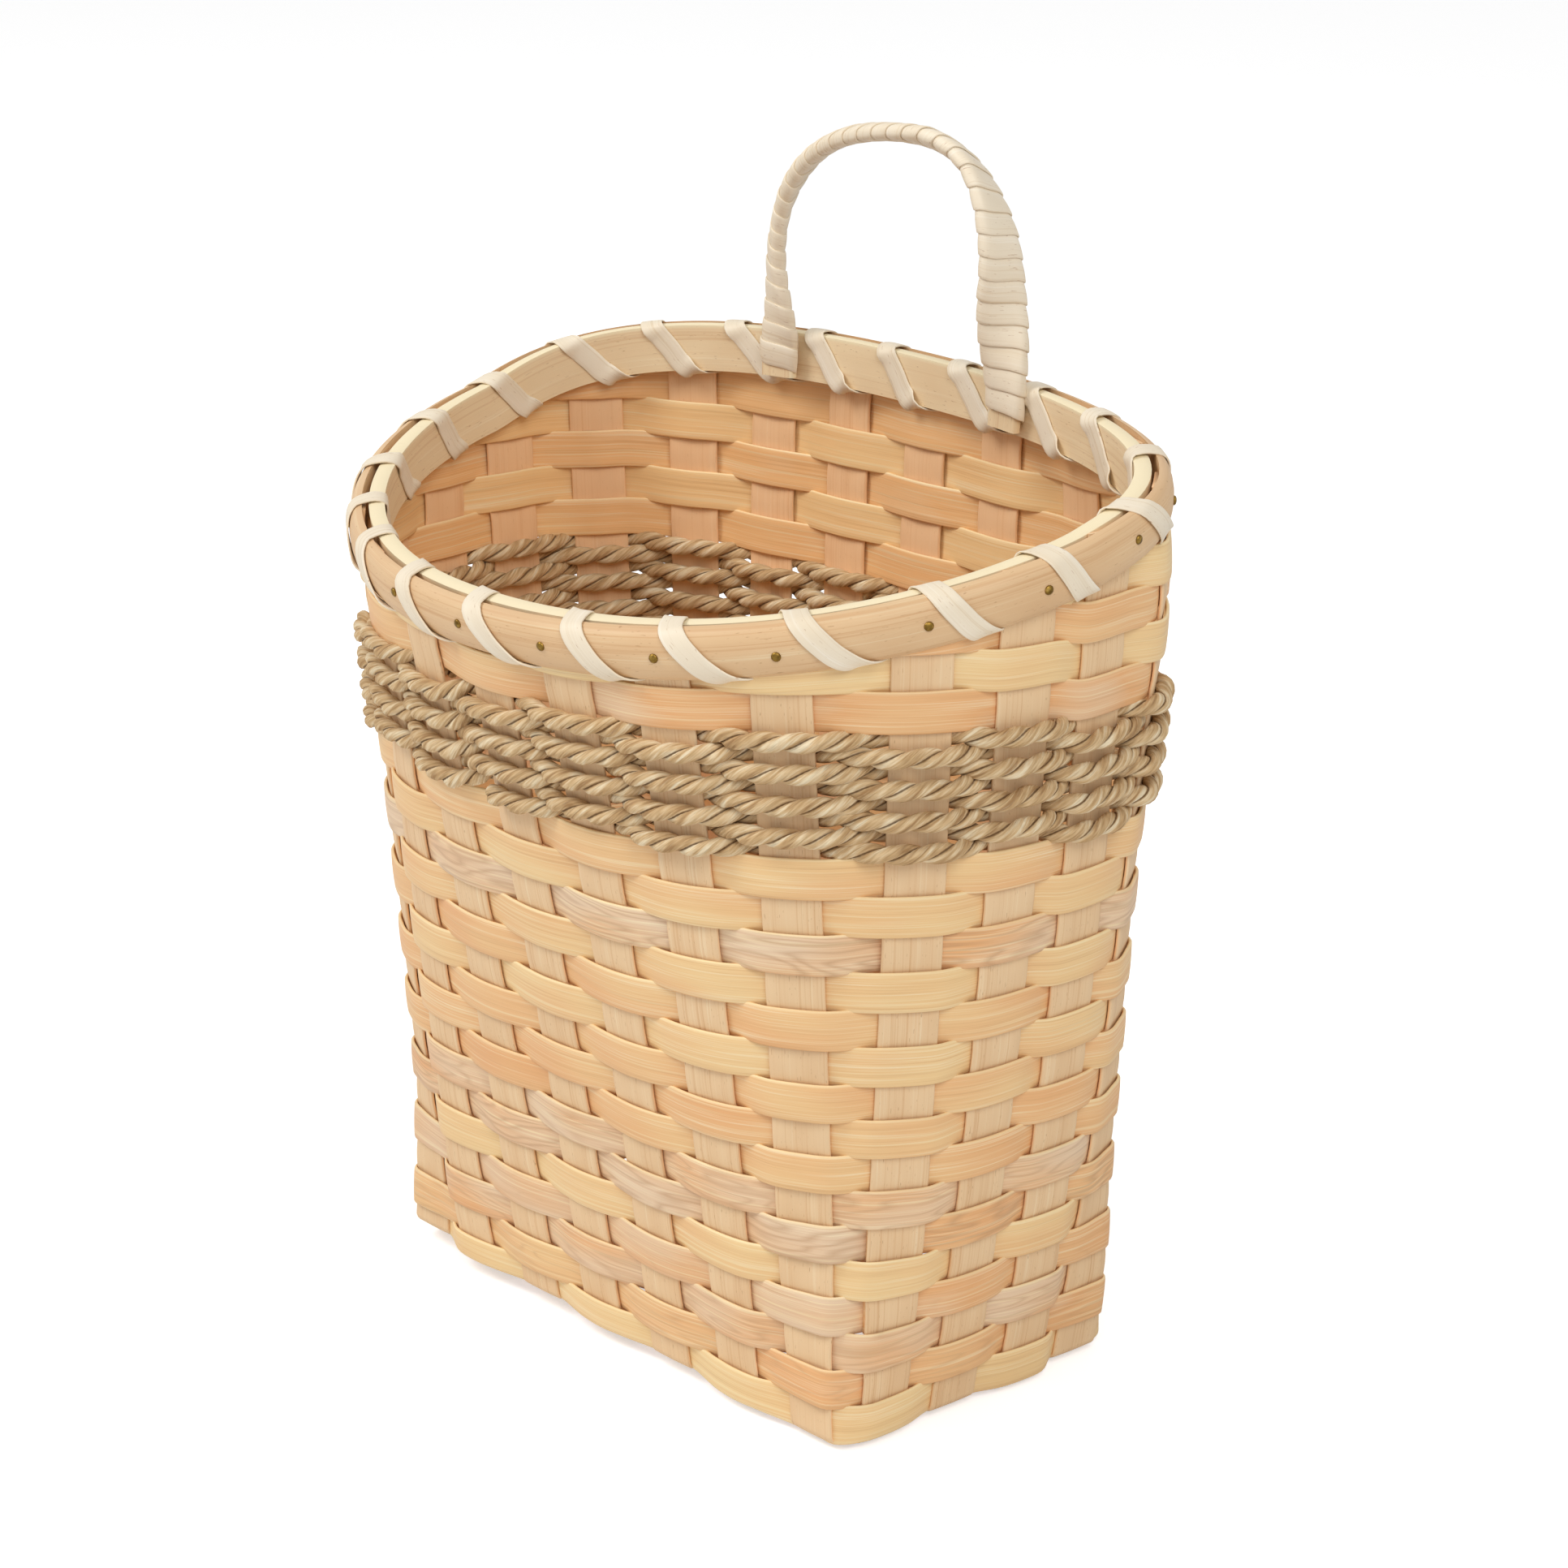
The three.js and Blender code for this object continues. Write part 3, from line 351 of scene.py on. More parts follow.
def reed_tree():
    """A strip or cord: its section follows a line of points that carry side, out, run and shade."""
    tree, given = piece_tree("reed", (
        ("Geometry", "Geometry"), ("Section", "Object"), ("Turns per mm", "Float"), ("Swell", "Float"),
        ("Ends Closed", "Bool"), ("Finish", "Material")))
    place = node(tree, "GeometryNodeInputPosition").outputs[0]
    section = node(tree, "GeometryNodeObjectInfo", {"Object": given["Section"]}).outputs["Geometry"]
    curves = []
    for line, name in ((given["Geometry"], "spine"), (section, "face")):
        curve = node(tree, "GeometryNodeMeshToCurve", {"Mesh": line}).outputs["Curve"]
        curves.append(node(
            tree, "GeometryNodeStoreNamedAttribute", {"Geometry": curve, "Name": name, "Value": place},
            data_type="FLOAT_VECTOR", domain="POINT").outputs["Geometry"])
    body = node(tree, "GeometryNodeCurveToMesh", {
        "Curve": curves[0], "Profile Curve": curves[1], "Fill Caps": given["Ends Closed"]}).outputs["Mesh"]
    read = {}
    for name in ("spine", "side", "out", "run", "shade", "face"):
        kind = "FLOAT" if name == "run" else "FLOAT_VECTOR"
        read[name] = node(
            tree, "GeometryNodeInputNamedAttribute", {"Name": name}, data_type=kind).outputs["Attribute"]
    face = node(tree, "ShaderNodeSeparateXYZ", {0: read["face"]}).outputs
    shade = node(tree, "ShaderNodeSeparateXYZ", {0: read["shade"]}).outputs
    angle = node(tree, "ShaderNodeMath", {0: read["run"], 1: given["Turns per mm"]}, operation="MULTIPLY")
    angle = node(tree, "ShaderNodeMath", {0: angle.outputs[0], 1: 2 * math.pi}, operation="MULTIPLY")
    turned = node(
        tree, "ShaderNodeVectorRotate", {"Vector": read["face"], "Angle": angle.outputs[0]},
        rotation_type="Z_AXIS")
    along = node(tree, "ShaderNodeMath", {0: read["run"], 1: SWELL_WAVES}, operation="MULTIPLY")
    wander = node(tree, "ShaderNodeCombineXYZ", {0: along.outputs[0], 1: face[0], 2: shade[2]})
    noise = node(tree, "ShaderNodeTexNoise", {"Vector": wander.outputs[0], "Scale": 1.0, "Detail": 1.0})
    swell = node(tree, "ShaderNodeMath", {0: noise.outputs[0], 1: 0.5}, operation="SUBTRACT")
    swell = node(
        tree, "ShaderNodeMath", {0: swell.outputs[0], 1: given["Swell"], 2: 1.0}, operation="MULTIPLY_ADD")
    grown = node(
        tree, "ShaderNodeVectorMath", {0: turned.outputs[0], "Scale": swell.outputs[0]}, operation="SCALE")
    grown = node(tree, "ShaderNodeSeparateXYZ", {0: grown.outputs["Vector"]}).outputs
    moved = read["spine"]
    for name, amount in (("side", grown[0]), ("out", grown[1])):
        moved = node(
            tree, "ShaderNodeVectorMath", {0: read[name], 1: amount, 2: moved},
            operation="MULTIPLY_ADD").outputs["Vector"]
    body = node(tree, "GeometryNodeSetPosition", {"Geometry": body, "Position": moved}).outputs["Geometry"]
    reach = node(tree, "ShaderNodeVectorMath", {0: read["side"]}, operation="LENGTH").outputs["Value"]
    width = node(tree, "ShaderNodeMath", {0: face[0], 1: reach}, operation="MULTIPLY")
    width = node(tree, "ShaderNodeMath", {0: width.outputs[0], 1: 1000.0}, operation="MULTIPLY")
    grain = node(tree, "ShaderNodeCombineXYZ", {0: read["run"], 1: width.outputs[0], 2: shade[2]})
    body = node(
        tree, "GeometryNodeStoreNamedAttribute",
        {"Geometry": body, "Name": "grain", "Value": grain.outputs[0]},
        data_type="FLOAT_VECTOR", domain="POINT").outputs["Geometry"]
    for name in ("spine", "side", "out", "run"):
        body = node(tree, "GeometryNodeRemoveAttribute", {"Geometry": body, "Name": name}).outputs["Geometry"]
    for kind in ("GeometryNodeSetShadeSmooth", "GeometryNodeRealizeInstances"):
        body = node(tree, kind, {"Geometry": body}).outputs["Geometry"]
    body = node(tree, "GeometryNodeSetMaterial", {"Geometry": body, "Material": given["Finish"]})
    node(tree, "NodeGroupOutput", {0: body.outputs["Geometry"]})
    return tree


REED = reed_tree()


def line_object(name, points, closed, loops=1):
    mesh = bpy.data.meshes.new(name)
    count = len(points) // loops
    edges = []
    for first in range(0, len(points), count):
        edges += [(first + k, first + k + 1) for k in range(count - 1)]
        if closed:
            edges.append((first + count - 1, first))
    mesh.from_pydata([tuple(p) for p in points], edges, [])
    return add_object(name, mesh)


def plain_mesh(worker, sharp=50):
    """The evaluated result as a mesh of its own, with outward normals; the worker object goes."""
    graph = bpy.context.evaluated_depsgraph_get()
    mesh = bpy.data.meshes.new_from_object(worker.evaluated_get(graph), depsgraph=graph)
    bpy.data.objects.remove(worker)
    bm = bmesh.new()
    bm.from_mesh(mesh)
    bmesh.ops.recalc_face_normals(bm, faces=bm.faces)
    bm.to_mesh(mesh)
    bm.free()
    mesh.set_sharp_from_angle(angle=math.radians(sharp))
    return mesh


def reed(name, path, section, finish, turns=0.0, swell=0.0, closed=False, loops=1):
    """One strip. Each row of the path is place, side, out (mm), run (mm) and shade (tone, figure, seed)."""
    path = np.array(path, float)
    worker = line_object(name, (path[:, 0:3] + FRAME_SHIFT) / 1000, closed)
    data = worker.data.attributes
    for label, first, size in (("side", 3, 3), ("out", 6, 3), ("run", 9, 1), ("shade", 10, 3)):
        kind, field = ("FLOAT_VECTOR", "vector") if size == 3 else ("FLOAT", "value")
        values = path[:, first:first + size] / (1000 if label in ("side", "out") else 1)
        data.new(label, kind, "POINT").data.foreach_set(field, values.astype(np.float32).ravel())
    shape = line_object(name + "_section", [(x, y, 0) for x, y in section], True, loops)
    grow(worker, REED, {
        "Section": shape, "Turns per mm": turns, "Swell": swell, "Ends Closed": not closed, "Finish": finish})
    mesh = plain_mesh(worker)
    bpy.data.objects.remove(shape)
    return mesh


def put_piece(name, mesh, replaced):
    """Shows a finished mesh in place of its CAD nodes."""
    piece = add_object(name, mesh)
    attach(piece, "root")
    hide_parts(*replaced)


def flat_section(width, thickness, crown=0.0, round_share=0.9, faces=6):
    """Closed outline of a flat strip in half widths and half thicknesses, with rounded edges."""
    edge = round_share * thickness / width
    outline = []
    for top in (1, -1):
        for k in range(faces + 1):
            x = top * (1 - edge) * (1 - 2 * k / faces)
            outline.append((x, top + crown * (1 - x * x)))
        x = -top * (1 - edge * 0.3)
        outline.append((x, top * 0.7 + crown * (1 - x * x)))
        outline.append((-top * 1.0, 0.0))
        outline.append((x, -top * 0.7 + crown * (1 - x * x)))
    return outline


def blank_material(name, roughness, specular=0.4, reads=()):
    """A new material, its tree and its shader, and the outputs of the attributes that it reads."""
    finish = bpy.data.materials.new(name)
    finish.use_nodes = True
    shader = finish.node_tree.nodes["Principled BSDF"]
    shader.inputs["Roughness"].default_value = roughness
    shader.inputs["IOR"].default_value = 1.5
    shader.inputs["Specular IOR Level"].default_value = specular
    finish.diffuse_color = (0.7, 0.5, 0.3, 1)
    tree = finish.node_tree
    fields = [node(tree, "ShaderNodeAttribute", attribute_name=label).outputs["Vector"] for label in reads]
    return finish, tree, shader, *fields


def stained(tree, colour, layers):
    """Lays colours over one another; each goes from none to its share between two values of a field."""
    for value, start, end, share, shade in layers:
        share = node(tree, "ShaderNodeMapRange", {"Value": value, 1: start, 2: end, 3: 0.0, 4: share})
        colour = node(
            tree, "ShaderNodeMix", {0: share.outputs[0], 6: colour, 7: tint(shade)},
            data_type="RGBA").outputs[2]
    return colour


def grain_fields(tree, grain, sizes):
    """Noises drawn out along the strip; each has a length and a width in mm, a detail and a shift."""
    fields = []
    for along, across, detail, shift in sizes:
        place = node(tree, "ShaderNodeMapping", {
            "Vector": grain, "Location": (shift, shift, shift), "Scale": (1 / along, 1 / across, 1.0)})
        fields.append(node(tree, "ShaderNodeTexNoise", {
            "Vector": place.outputs[0], "Scale": 1.0, "Detail": detail, "Roughness": 0.6}).outputs[0])
    return fields


def fibrous(tree, shader, lines, depth, fibre, low, high):
    """Raised fibres, and a sheen that changes from fibre to fibre."""
    bump = node(tree, "ShaderNodeBump", {"Height": lines, "Strength": depth, "Distance": 0.0002})
    tree.links.new(bump.outputs[0], shader.inputs["Normal"])
    rough = node(tree, "ShaderNodeMapRange", {"Value": fibre, 1: 0.3, 2: 0.7, 3: low, 4: high})
    tree.links.new(rough.outputs[0], shader.inputs["Roughness"])


def splint_wood(name, light, middle, dark, roughness, edge=None, inside=0.0):
    """Peeled splint: straight fibres 0.5 mm apart, broader bands, dark vessels, short flecks, and a warm
    inner face that is partly painted bounce light and partly the inner side's own shade.
    """
    finish, tree, shader, grain, face = blank_material(name, roughness, reads=("grain", "face"))
    fibre, band, cloud, vessel, fleck = grain_fields(tree, grain, (
        (60, 0.45, 3.0, 0.0), (90, 3.2, 2.0, 7.0), (26, 9.0, 1.0, 13.0), (160, 0.9, 1.0, 19.0),
        (2.2, 0.35, 1.0, 23.0)))
    mixed = node(tree, "ShaderNodeMix", {0: 0.55, 2: band, 3: fibre}).outputs[0]
    colour = node(tree, "ShaderNodeValToRGB", {"Fac": mixed}, (
        (0.3, dark), (0.45, middle), (0.56, middle), (0.68, light))).outputs["Color"]
    high, outer, _ = node(tree, "ShaderNodeSeparateXYZ", {0: face}).outputs
    layers = [
        (cloud, 0.4, 0.8, 0.35, dark), (vessel, 0.62, 0.7, 0.4, dark), (fleck, 0.7, 0.76, 0.5, "#A87A50"),
        # Inner face: a warmer, lighter tint, partly painted bounce light from inside the basket and partly
        # the inner side's own shade.
        (outer, 0.3, -0.3, inside, "#FFC894")]
    if edge:
        layers.append((high, 0.8, 0.94, 0.9, edge))
    tree.links.new(stained(tree, colour, layers), shader.inputs["Base Color"])
    fibrous(tree, shader, mixed, 0.35, fibre, roughness - 0.1, roughness + 0.1)
    return finish


# The last number is the strength of the inner face's warm tint: partly painted bounce light, partly the
# splint's own inner shade.
STRIP_FINISH = splint_wood("peeled splint, pinkish beige", "#F0D8B2", "#E8C79C", "#D2A474", 0.62, None, 0.5)
STRIP_SECTION = flat_section(STAKE_WIDTH, STAKE_THICKNESS, 0.25)
STRIP_TOP_BELOW_RIM = 1.6
WALL_STEPS = 98
# The strips' wave between the rows starts and fades over these heights.
WAVE = 0.3
WAVE_START = 6
WAVE_FADE = 5
# Floor: level of the lower strip at a crossing and of the upper one, half length of a level crossing,
# and how far in from the edge the floor rises to a raised fold.
LEVEL_LOW = 0.7
LEVEL_HIGH = LEVEL_LOW + 1.25
CROSSING_HALF = 5.5
FOLD_MARGIN = 0.6
FOLD_RISE_REACH = 16


def strip_wave(index, z):
    """The rows push a strip in where they pass outside it and out where they pass inside."""
    z -= row_rise(index, z)
    if z < FIRST_ROW_TOP or ROPE_BOTTOM < z < UPPER_BOTTOM:
        return 0.0
    if z < ROPE_BOTTOM:
        row = (z - FIRST_ROW_TOP) / ROW_PITCH + 1.5
    else:
        row = (z - UPPER_BOTTOM) / ROW_PITCH + LOWER_ROWS + 0.5
    ends = abs(z - ROPE_BOTTOM) / WAVE_FADE, abs(z - UPPER_BOTTOM) / WAVE_FADE
    fade = min(1.0, (z - FIRST_ROW_TOP) / WAVE_START, *ends)
    return -WAVE * fade * math.cos(math.pi * (row - index % 2))


def strip_wall(index, level):
    """Control points up the wall, from the fold to just under the rim's top."""
    rim = rim_frame(angle_of(stake_point(index, RIM_SIDE_LEVEL)))
    roof = rim[0][2] + (RIM_HEIGHT / 2 - STRIP_TOP_BELOW_RIM) * rim[3][2]
    rows = []
    for z in np.linspace(level + FOLD_RADIUS, roof, WALL_STEPS):
        point, around, out, _ = stake_frame(index, z)
        rows.append([*(point + out * strip_wave(index, z)), *around, *out])
    return rows


def strip_fold(index, level):
    """Control points round the fold, from the wall to the floor's edge."""
    point, around, _, _ = stake_frame(index, level + FOLD_RADIUS)
    facing = ENDS[index][2]
    rows = []
    for part in (0.12, 0.37, 0.62, 0.87):
        turn = part * math.pi / 2
        out = facing * math.sin(turn) - UP * math.cos(turn)
        rows.append([*(point - facing * FOLD_RADIUS + out * FOLD_RADIUS), *around, *out])
    return rows


def strip_path(index, other, across):
    """One splint down a wall, under the floor and up the other wall."""
    count = SIDE_STAKES if across else FRONT_STAKES
    pitch = BASE_SIDE_PITCH if across else BASE_FRONT_PITCH
    reach = BASE_HALF_DEPTH if across else BASE_HALF_WIDTH
    own = index if across else index - FRONT_STAKES
    over_first = across == (own % 2 == 0)
    levels = [LEVEL_HIGH if (k % 2 == 0) == over_first else LEVEL_LOW for k in range(count)]
    flip = lambda rows: [[*r[:3], *(-np.array(r[3:6])), *r[6:]] for r in rows]
    facing = ENDS[index][2]
    around = np.cross(UP, facing)
    feet = stake_frame(index, 0)[0], stake_frame(other, 0)[0]
    runs = [FOLD_RADIUS + FOLD_MARGIN]
    for k in range(count):
        middle = reach + (k - (count - 1) / 2) * pitch
        runs += [middle - CROSSING_HALF, middle, middle + CROSSING_HALF]
    runs.append(2 * reach - FOLD_RADIUS - FOLD_MARGIN)
    floor = []
    for run, level in zip(runs, [levels[0], *(v for v in levels for _ in range(3)), levels[-1]]):
        lift = FOLD_RISE[index] * max(0, 1 - run / FOLD_RISE_REACH)
        lift += FOLD_RISE[other] * max(0, 1 - (2 * reach - run) / FOLD_RISE_REACH)
        place = mix(*feet, run / (2 * reach))
        floor.append([place[0], place[1], level + lift, *around, *(-UP)])
    near, far = levels[0] + FOLD_RISE[index], levels[-1] + FOLD_RISE[other]
    rows = strip_wall(index, near)[::-1] + strip_fold(index, near)[::-1] + floor
    rows += flip(strip_fold(other, far)) + flip(strip_wall(other, far))
    return smooth_path(rows, False, 2.0)


def lengths_along(points):
    return np.concatenate([[0], np.cumsum(np.linalg.norm(np.diff(points, axis=0), axis=1))])


def carried(path, half_width, half_thickness, tone=0.5, figure=0.0, seed=0.0):
    """Scales the frames to the strip's half sizes and adds run and shade."""
    path = np.array(path)
    side = unit(path[:, 3:6]) * half_width
    out = unit(path[:, 6:9]) * half_thickness
    run = lengths_along(path[:, :3])
    shade = np.tile([tone, figure, seed], (len(path), 1))
    return np.hstack([path[:, :3], side, out, run[:, None], shade])


for index in range(FRONT_STAKES + SIDE_STAKES):
    across = index < FRONT_STAKES
    other = (2 * FRONT_STAKES + SIDE_STAKES if across else STAKES + FRONT_STAKES) - 1 - index
    path = strip_path(index, other, across)
    path = carried(path, STAKE_WIDTH / 2, STAKE_THICKNESS / 2, seed=index * 3.7)
    mesh = reed("strip", path, STRIP_SECTION, STRIP_FINISH)
    name = ("cross_strip_" if across else "long_strip_") + "abcdefghijk"[index]
    put_piece("splint_" + name, mesh, [name])

# Flat weavers.
# Rows of flat reed, 10 mm high and 0.9 mm thick, pass over one strip and under the next; each length ends
# under its own start. Some are stained and some not, so that rows run from straw yellow to orange brown.
ROW_THICKNESS = 0.9
ROW_OVERLAP = 0.8
FIRST_ROW_BOTTOM = 1.7
UPPER_ROWS = 5
# How far a row stands off the wall over a strip's middle and over its edges, and how far to each side of the
# middle these edges are.
ROW_BULGE = 1.5
ROW_EDGE_BULGE = 1.05
ROW_REACH = 7.0
LAP_LIFT = 0.95
# Rows that reach this level go up under the hoops and end where less than the least height is left.
RIM_NEAR = 195
ROW_TUCK = 2.0
LAST_ROW_TUCK = 3
ROW_LEAST_HEIGHT = 1.2


def reed_finish():
    """Flat reed: fine straight fibres, light streaks, a painted highlight along the upper edge, a warm inner
    face that is partly painted bounce light, and brown figure in some rows.
    """
    finish, tree, shader, grain, shade, face = blank_material(
        "flat reed, smoked and plain", 0.5, 0.45, ("grain", "shade", "face"))
    fibre, band, drift, figure, streak = grain_fields(tree, grain, (
        (45, 0.35, 3.0, 0.0), (70, 1.8, 2.0, 5.0), (40, 14.0, 1.0, 11.0), (46, 6.0, 1.3, 17.0),
        (120, 0.7, 2.0, 29.0)))
    tone, brown, _ = node(tree, "ShaderNodeSeparateXYZ", {0: shade}).outputs
    high, outer, _ = node(tree, "ShaderNodeSeparateXYZ", {0: face}).outputs
    level = node(tree, "ShaderNodeMapRange", {"Value": drift, 1: 0.3, 2: 0.7, 3: -0.16, 4: 0.16}).outputs[0]
    level = node(tree, "ShaderNodeMath", {0: level, 1: tone}, operation="ADD").outputs[0]
    colour = node(tree, "ShaderNodeValToRGB", {"Fac": level}, (
        (0.0, "#F0D29A"), (0.3, "#EDC68E"), (0.52, "#EAB982"), (0.7, "#E7AE76"), (0.84, "#E6BE94"),
        (1.0, "#E6C8A6"))).outputs["Color"]
    lines = node(tree, "ShaderNodeMix", {0: 0.6, 2: band, 3: fibre}).outputs[0]
    rings = node(tree, "ShaderNodeMath", {0: figure, 1: 9.0}, operation="MULTIPLY").outputs[0]
    rings = node(tree, "ShaderNodeMath", {0: rings, 1: 0.5}, operation="PINGPONG").outputs[0]
    brown = node(tree, "ShaderNodeMath", {0: rings, 1: brown}, operation="MULTIPLY").outputs[0]
    colour = stained(tree, colour, (
        # First layer: a warmer inner face, partly painted bounce light from inside the basket and partly the
        # reed's own inner shade.
        (outer, 0.3, -0.3, 0.45, "#FFCC8C"), (lines, 0.48, 0.3, 0.4, "#C08A54"),
        (lines, 0.53, 0.68, 0.6, "#FAEBC6"), (streak, 0.56, 0.68, 0.45, "#F6E2B4"),
        # Last layer: a painted highlight along each row's upper edge, where the light from above falls.
        (brown, 0.1, 0.3, 0.42, "#B48860"), (high, 0.86, 0.97, 0.5, "#F8E6B6")))
    tree.links.new(colour, shader.inputs["Base Color"])
    fibrous(tree, shader, lines, 0.3, fibre, 0.4, 0.6)
    return finish


REED_FINISH = reed_finish()
ROW_SECTION = flat_section(10, ROW_THICKNESS, 0.35)
# Each row's tone at its start and end, from yellow over orange to pale beige, its brown figure, and the strip
# that hides its lap.
ROW_SHADES = [
    (0.10, 0.16, 0.1, 14), (0.28, 0.84, 0.4, 17), (0.88, 0.86, 0.5, 14), (0.62, 0.92, 0.3, 7),
    (0.27, 0.24, 0.1, 12), (0.62, 0.96, 0.6, 7), (0.93, 0.88, 0.5, 14), (0.56, 0.50, 0.1, 17),
    (0.54, 0.52, 0.1, 14), (0.54, 0.42, 0.1, 17), (0.34, 0.32, 0.0, 12), (0.60, 0.42, 0.1, 17),
    (0.38, 0.30, 0.1, 18), (0.80, 0.96, 0.6, 7), (0.36, 0.32, 0.0, 12), (0.46, 0.42, 0.1, 17),
    (0.74, 0.50, 0.0, 4), (0.12, 0.20, 0.0, 3), (0.58, 0.66, 0.0, 4), (0.16, 0.24, 0.0, 3),
    (0.66, 0.70, 0.0, 4),
]


def rim_under(point):
    point, _, _, up = rim_frame(angle_of(point))
    return point[2] - RIM_HEIGHT / 2 * up[2]


def row_path(row, bottom, top, start):
    """Control rows round the wall: lower edge, upper edge and outward direction."""
    run = []
    for step in range(STAKES + 1):
        index = (start + step) % STAKES
        sign = 1 if (row + index) % 2 == 0 else -1
        lap = LAP_LIFT if step >= STAKES else 0.0
        rise = FOLD_RISE[index] if row == 1 else row_rise(index, bottom)
        low = stake_frame(index, bottom + rise)
        for side, bulge in ((-1, ROW_EDGE_BULGE), (0, ROW_BULGE), (1, ROW_EDGE_BULGE)):
            place = low[0] + low[1] * side * ROW_REACH
            roof = top + row_rise(index, top) + (LAST_ROW_TUCK if row == LOWER_ROWS + UPPER_ROWS else 0)
            if top > RIM_NEAR:
                roof = min(roof, rim_under(place) + ROW_TUCK)
            if roof - bottom < ROW_LEAST_HEIGHT:
                run.append(None)
                continue
            high = stake_frame(index, roof)
            ends = [f[0] + f[1] * side * ROW_REACH + f[2] * sign * (bulge + lap) for f in (low, high)]
            run.append([*((ends[0] + ends[1]) / 2), *((ends[1] - ends[0]) / 2), *low[2]])
    while run and run[0] is None:
        run.pop(0)
    return run[:run.index(None)] if None in run else run


for row in range(1, LOWER_ROWS + UPPER_ROWS + 1):
    upper = row > LOWER_ROWS
    top = (UPPER_BOTTOM if upper else FIRST_ROW_TOP - ROW_PITCH) + ROW_OVERLAP / 2
    top += (row - LOWER_ROWS if upper else row) * ROW_PITCH
    bottom = FIRST_ROW_BOTTOM if row == 1 else top - ROW_PITCH - ROW_OVERLAP
    tone, last_tone, figure, start = ROW_SHADES[row - 1]
    run = row_path(row, bottom, top, start)
    path = smooth_path(run, False, 1.6)
    full = carried(path, 1, ROW_THICKNESS / 2, tone, figure, row * 5.3)
    full[:, 10] = np.linspace(tone, last_tone, len(full))
    full[:, 3:6] = path[:, 3:6]
    name = "weaver_row_%02d" % row
    put_piece("reed_" + name, reed("row", full, ROW_SECTION, REED_FINISH), [name])

# Seagrass band.
# Two cords of dried seagrass, each of two leaf-like plies laid left-handed at 17 mm a turn, chase each
# other round the basket for eight courses, over one strip and under the next.
CORD_LAY = 17
PLY_OFFSET = 0.98
PLY_HALF = 1.58
PLY_STRETCH = 1.15
PLY_SIDES = 10
CORD_SWELL = 0.22
CORD_BULGE = 2.8
CORD_EDGE_BULGE = 2.6
CORD_REACH = 6
# How many strips the second strand starts behind the first.
CORD_LEAD = 3


def seagrass_finish():
    """Dried seagrass: khaki to straw leaves, fine fibres along each ply and painted shade in the creases
    between plies.
    """
    finish, tree, shader, grain, face = blank_material(
        "dried twisted seagrass", 0.8, 0.25, ("grain", "face"))
    x, y, _ = node(tree, "ShaderNodeSeparateXYZ", {0: face}).outputs
    run = node(tree, "ShaderNodeSeparateXYZ", {0: grain}).outputs
    spot = node(tree, "ShaderNodeCombineXYZ", {0: run[0], 1: x, 2: y}).outputs[0]
    fields = []
    for scale, detail in (((0.16, 2.4, 2.4), 3.0), ((0.12, 0.5, 0.5), 2.0)):
        place = node(tree, "ShaderNodeMapping", {"Vector": spot, "Scale": scale}).outputs[0]
        fields.append(node(tree, "ShaderNodeTexNoise", {
            "Vector": place, "Scale": 1.0, "Detail": detail, "Roughness": 0.7}).outputs[0])
    fibre, patch = fields
    colour = node(tree, "ShaderNodeValToRGB", {"Fac": patch}, (
        (0.31, "#AB855A"), (0.43, "#CBA778"), (0.54, "#E0C194"), (0.68, "#F5E3C0"))).outputs["Color"]
    # Painted shade: darker where each ply dives under its neighbour, near the cord's middle.
    painted_crease_shade = node(tree, "ShaderNodeMath", {0: x}, operation="ABSOLUTE").outputs[0]
    colour = stained(tree, colour, (
        (fibre, 0.48, 0.3, 0.4, "#8C6C46"), (fibre, 0.56, 0.74, 0.45, "#F4E6C8"),
        (painted_crease_shade, 0.44, 0.16, 0.8, "#60401F")))
    tree.links.new(colour, shader.inputs["Base Color"])
    bump = node(tree, "ShaderNodeBump", {"Height": fibre, "Strength": 0.8, "Distance": 0.0006})
    tree.links.new(bump.outputs[0], shader.inputs["Normal"])
    return finish


CORD_FINISH = seagrass_finish()


def cord_section():
    """Two plies side by side, in millimetres from the cord's middle."""
    outline = []
    for side in (-1, 1):
        for k in range(PLY_SIDES):
            turn = 2 * math.pi * k / PLY_SIDES
            across, forth = PLY_HALF * math.cos(turn), PLY_HALF * PLY_STRETCH * math.sin(turn)
            outline.append((side * PLY_OFFSET + across, forth))
    return outline


def cord_path(strand):
    """Four turns of one strand; it climbs a course where the other one lets it."""
    first = (0, CORD_LEAD)[strand]
    rise_at = STAKES - CORD_LEAD if strand else CORD_LEAD
    rows = []
    for step in range(ROPE_COURSES // 2 * STAKES):
        index = (first + step) % STAKES
        turns, rest = divmod(step, STAKES)
        level = 0.5 + 2 * turns + (1 if rest >= rise_at else 0)
        height = ROPE_BOTTOM + level * ROPE_PITCH
        point, around, out, up = stake_frame(index, height + row_rise(index, height))
        sign = 1 if (strand + index) % 2 == 0 else -1
        for side, bulge in ((-1, CORD_EDGE_BULGE), (0, CORD_BULGE), (1, CORD_EDGE_BULGE)):
            rows.append([*(point + around * side * CORD_REACH + out * sign * bulge), *up, *out])
    path = smooth_path(rows, False, 1.1)
    way = unit(np.gradient(path[:, :3], axis=0))
    side = path[:, 3:6] - way * np.sum(way * path[:, 3:6], axis=1)[:, None]
    path[:, 3:6] = side
    path[:, 6:9] = np.cross(way, side)
    return carried(path, 1, 1, seed=strand * 9.1)


for strand in (0, 1):
    mesh = reed("cord", cord_path(strand), cord_section(), CORD_FINISH, -1 / CORD_LAY, CORD_SWELL, loops=2)
    name = "seagrass_strand_%d" % (strand + 1)
    put_piece("twisted_" + name, mesh, [name])

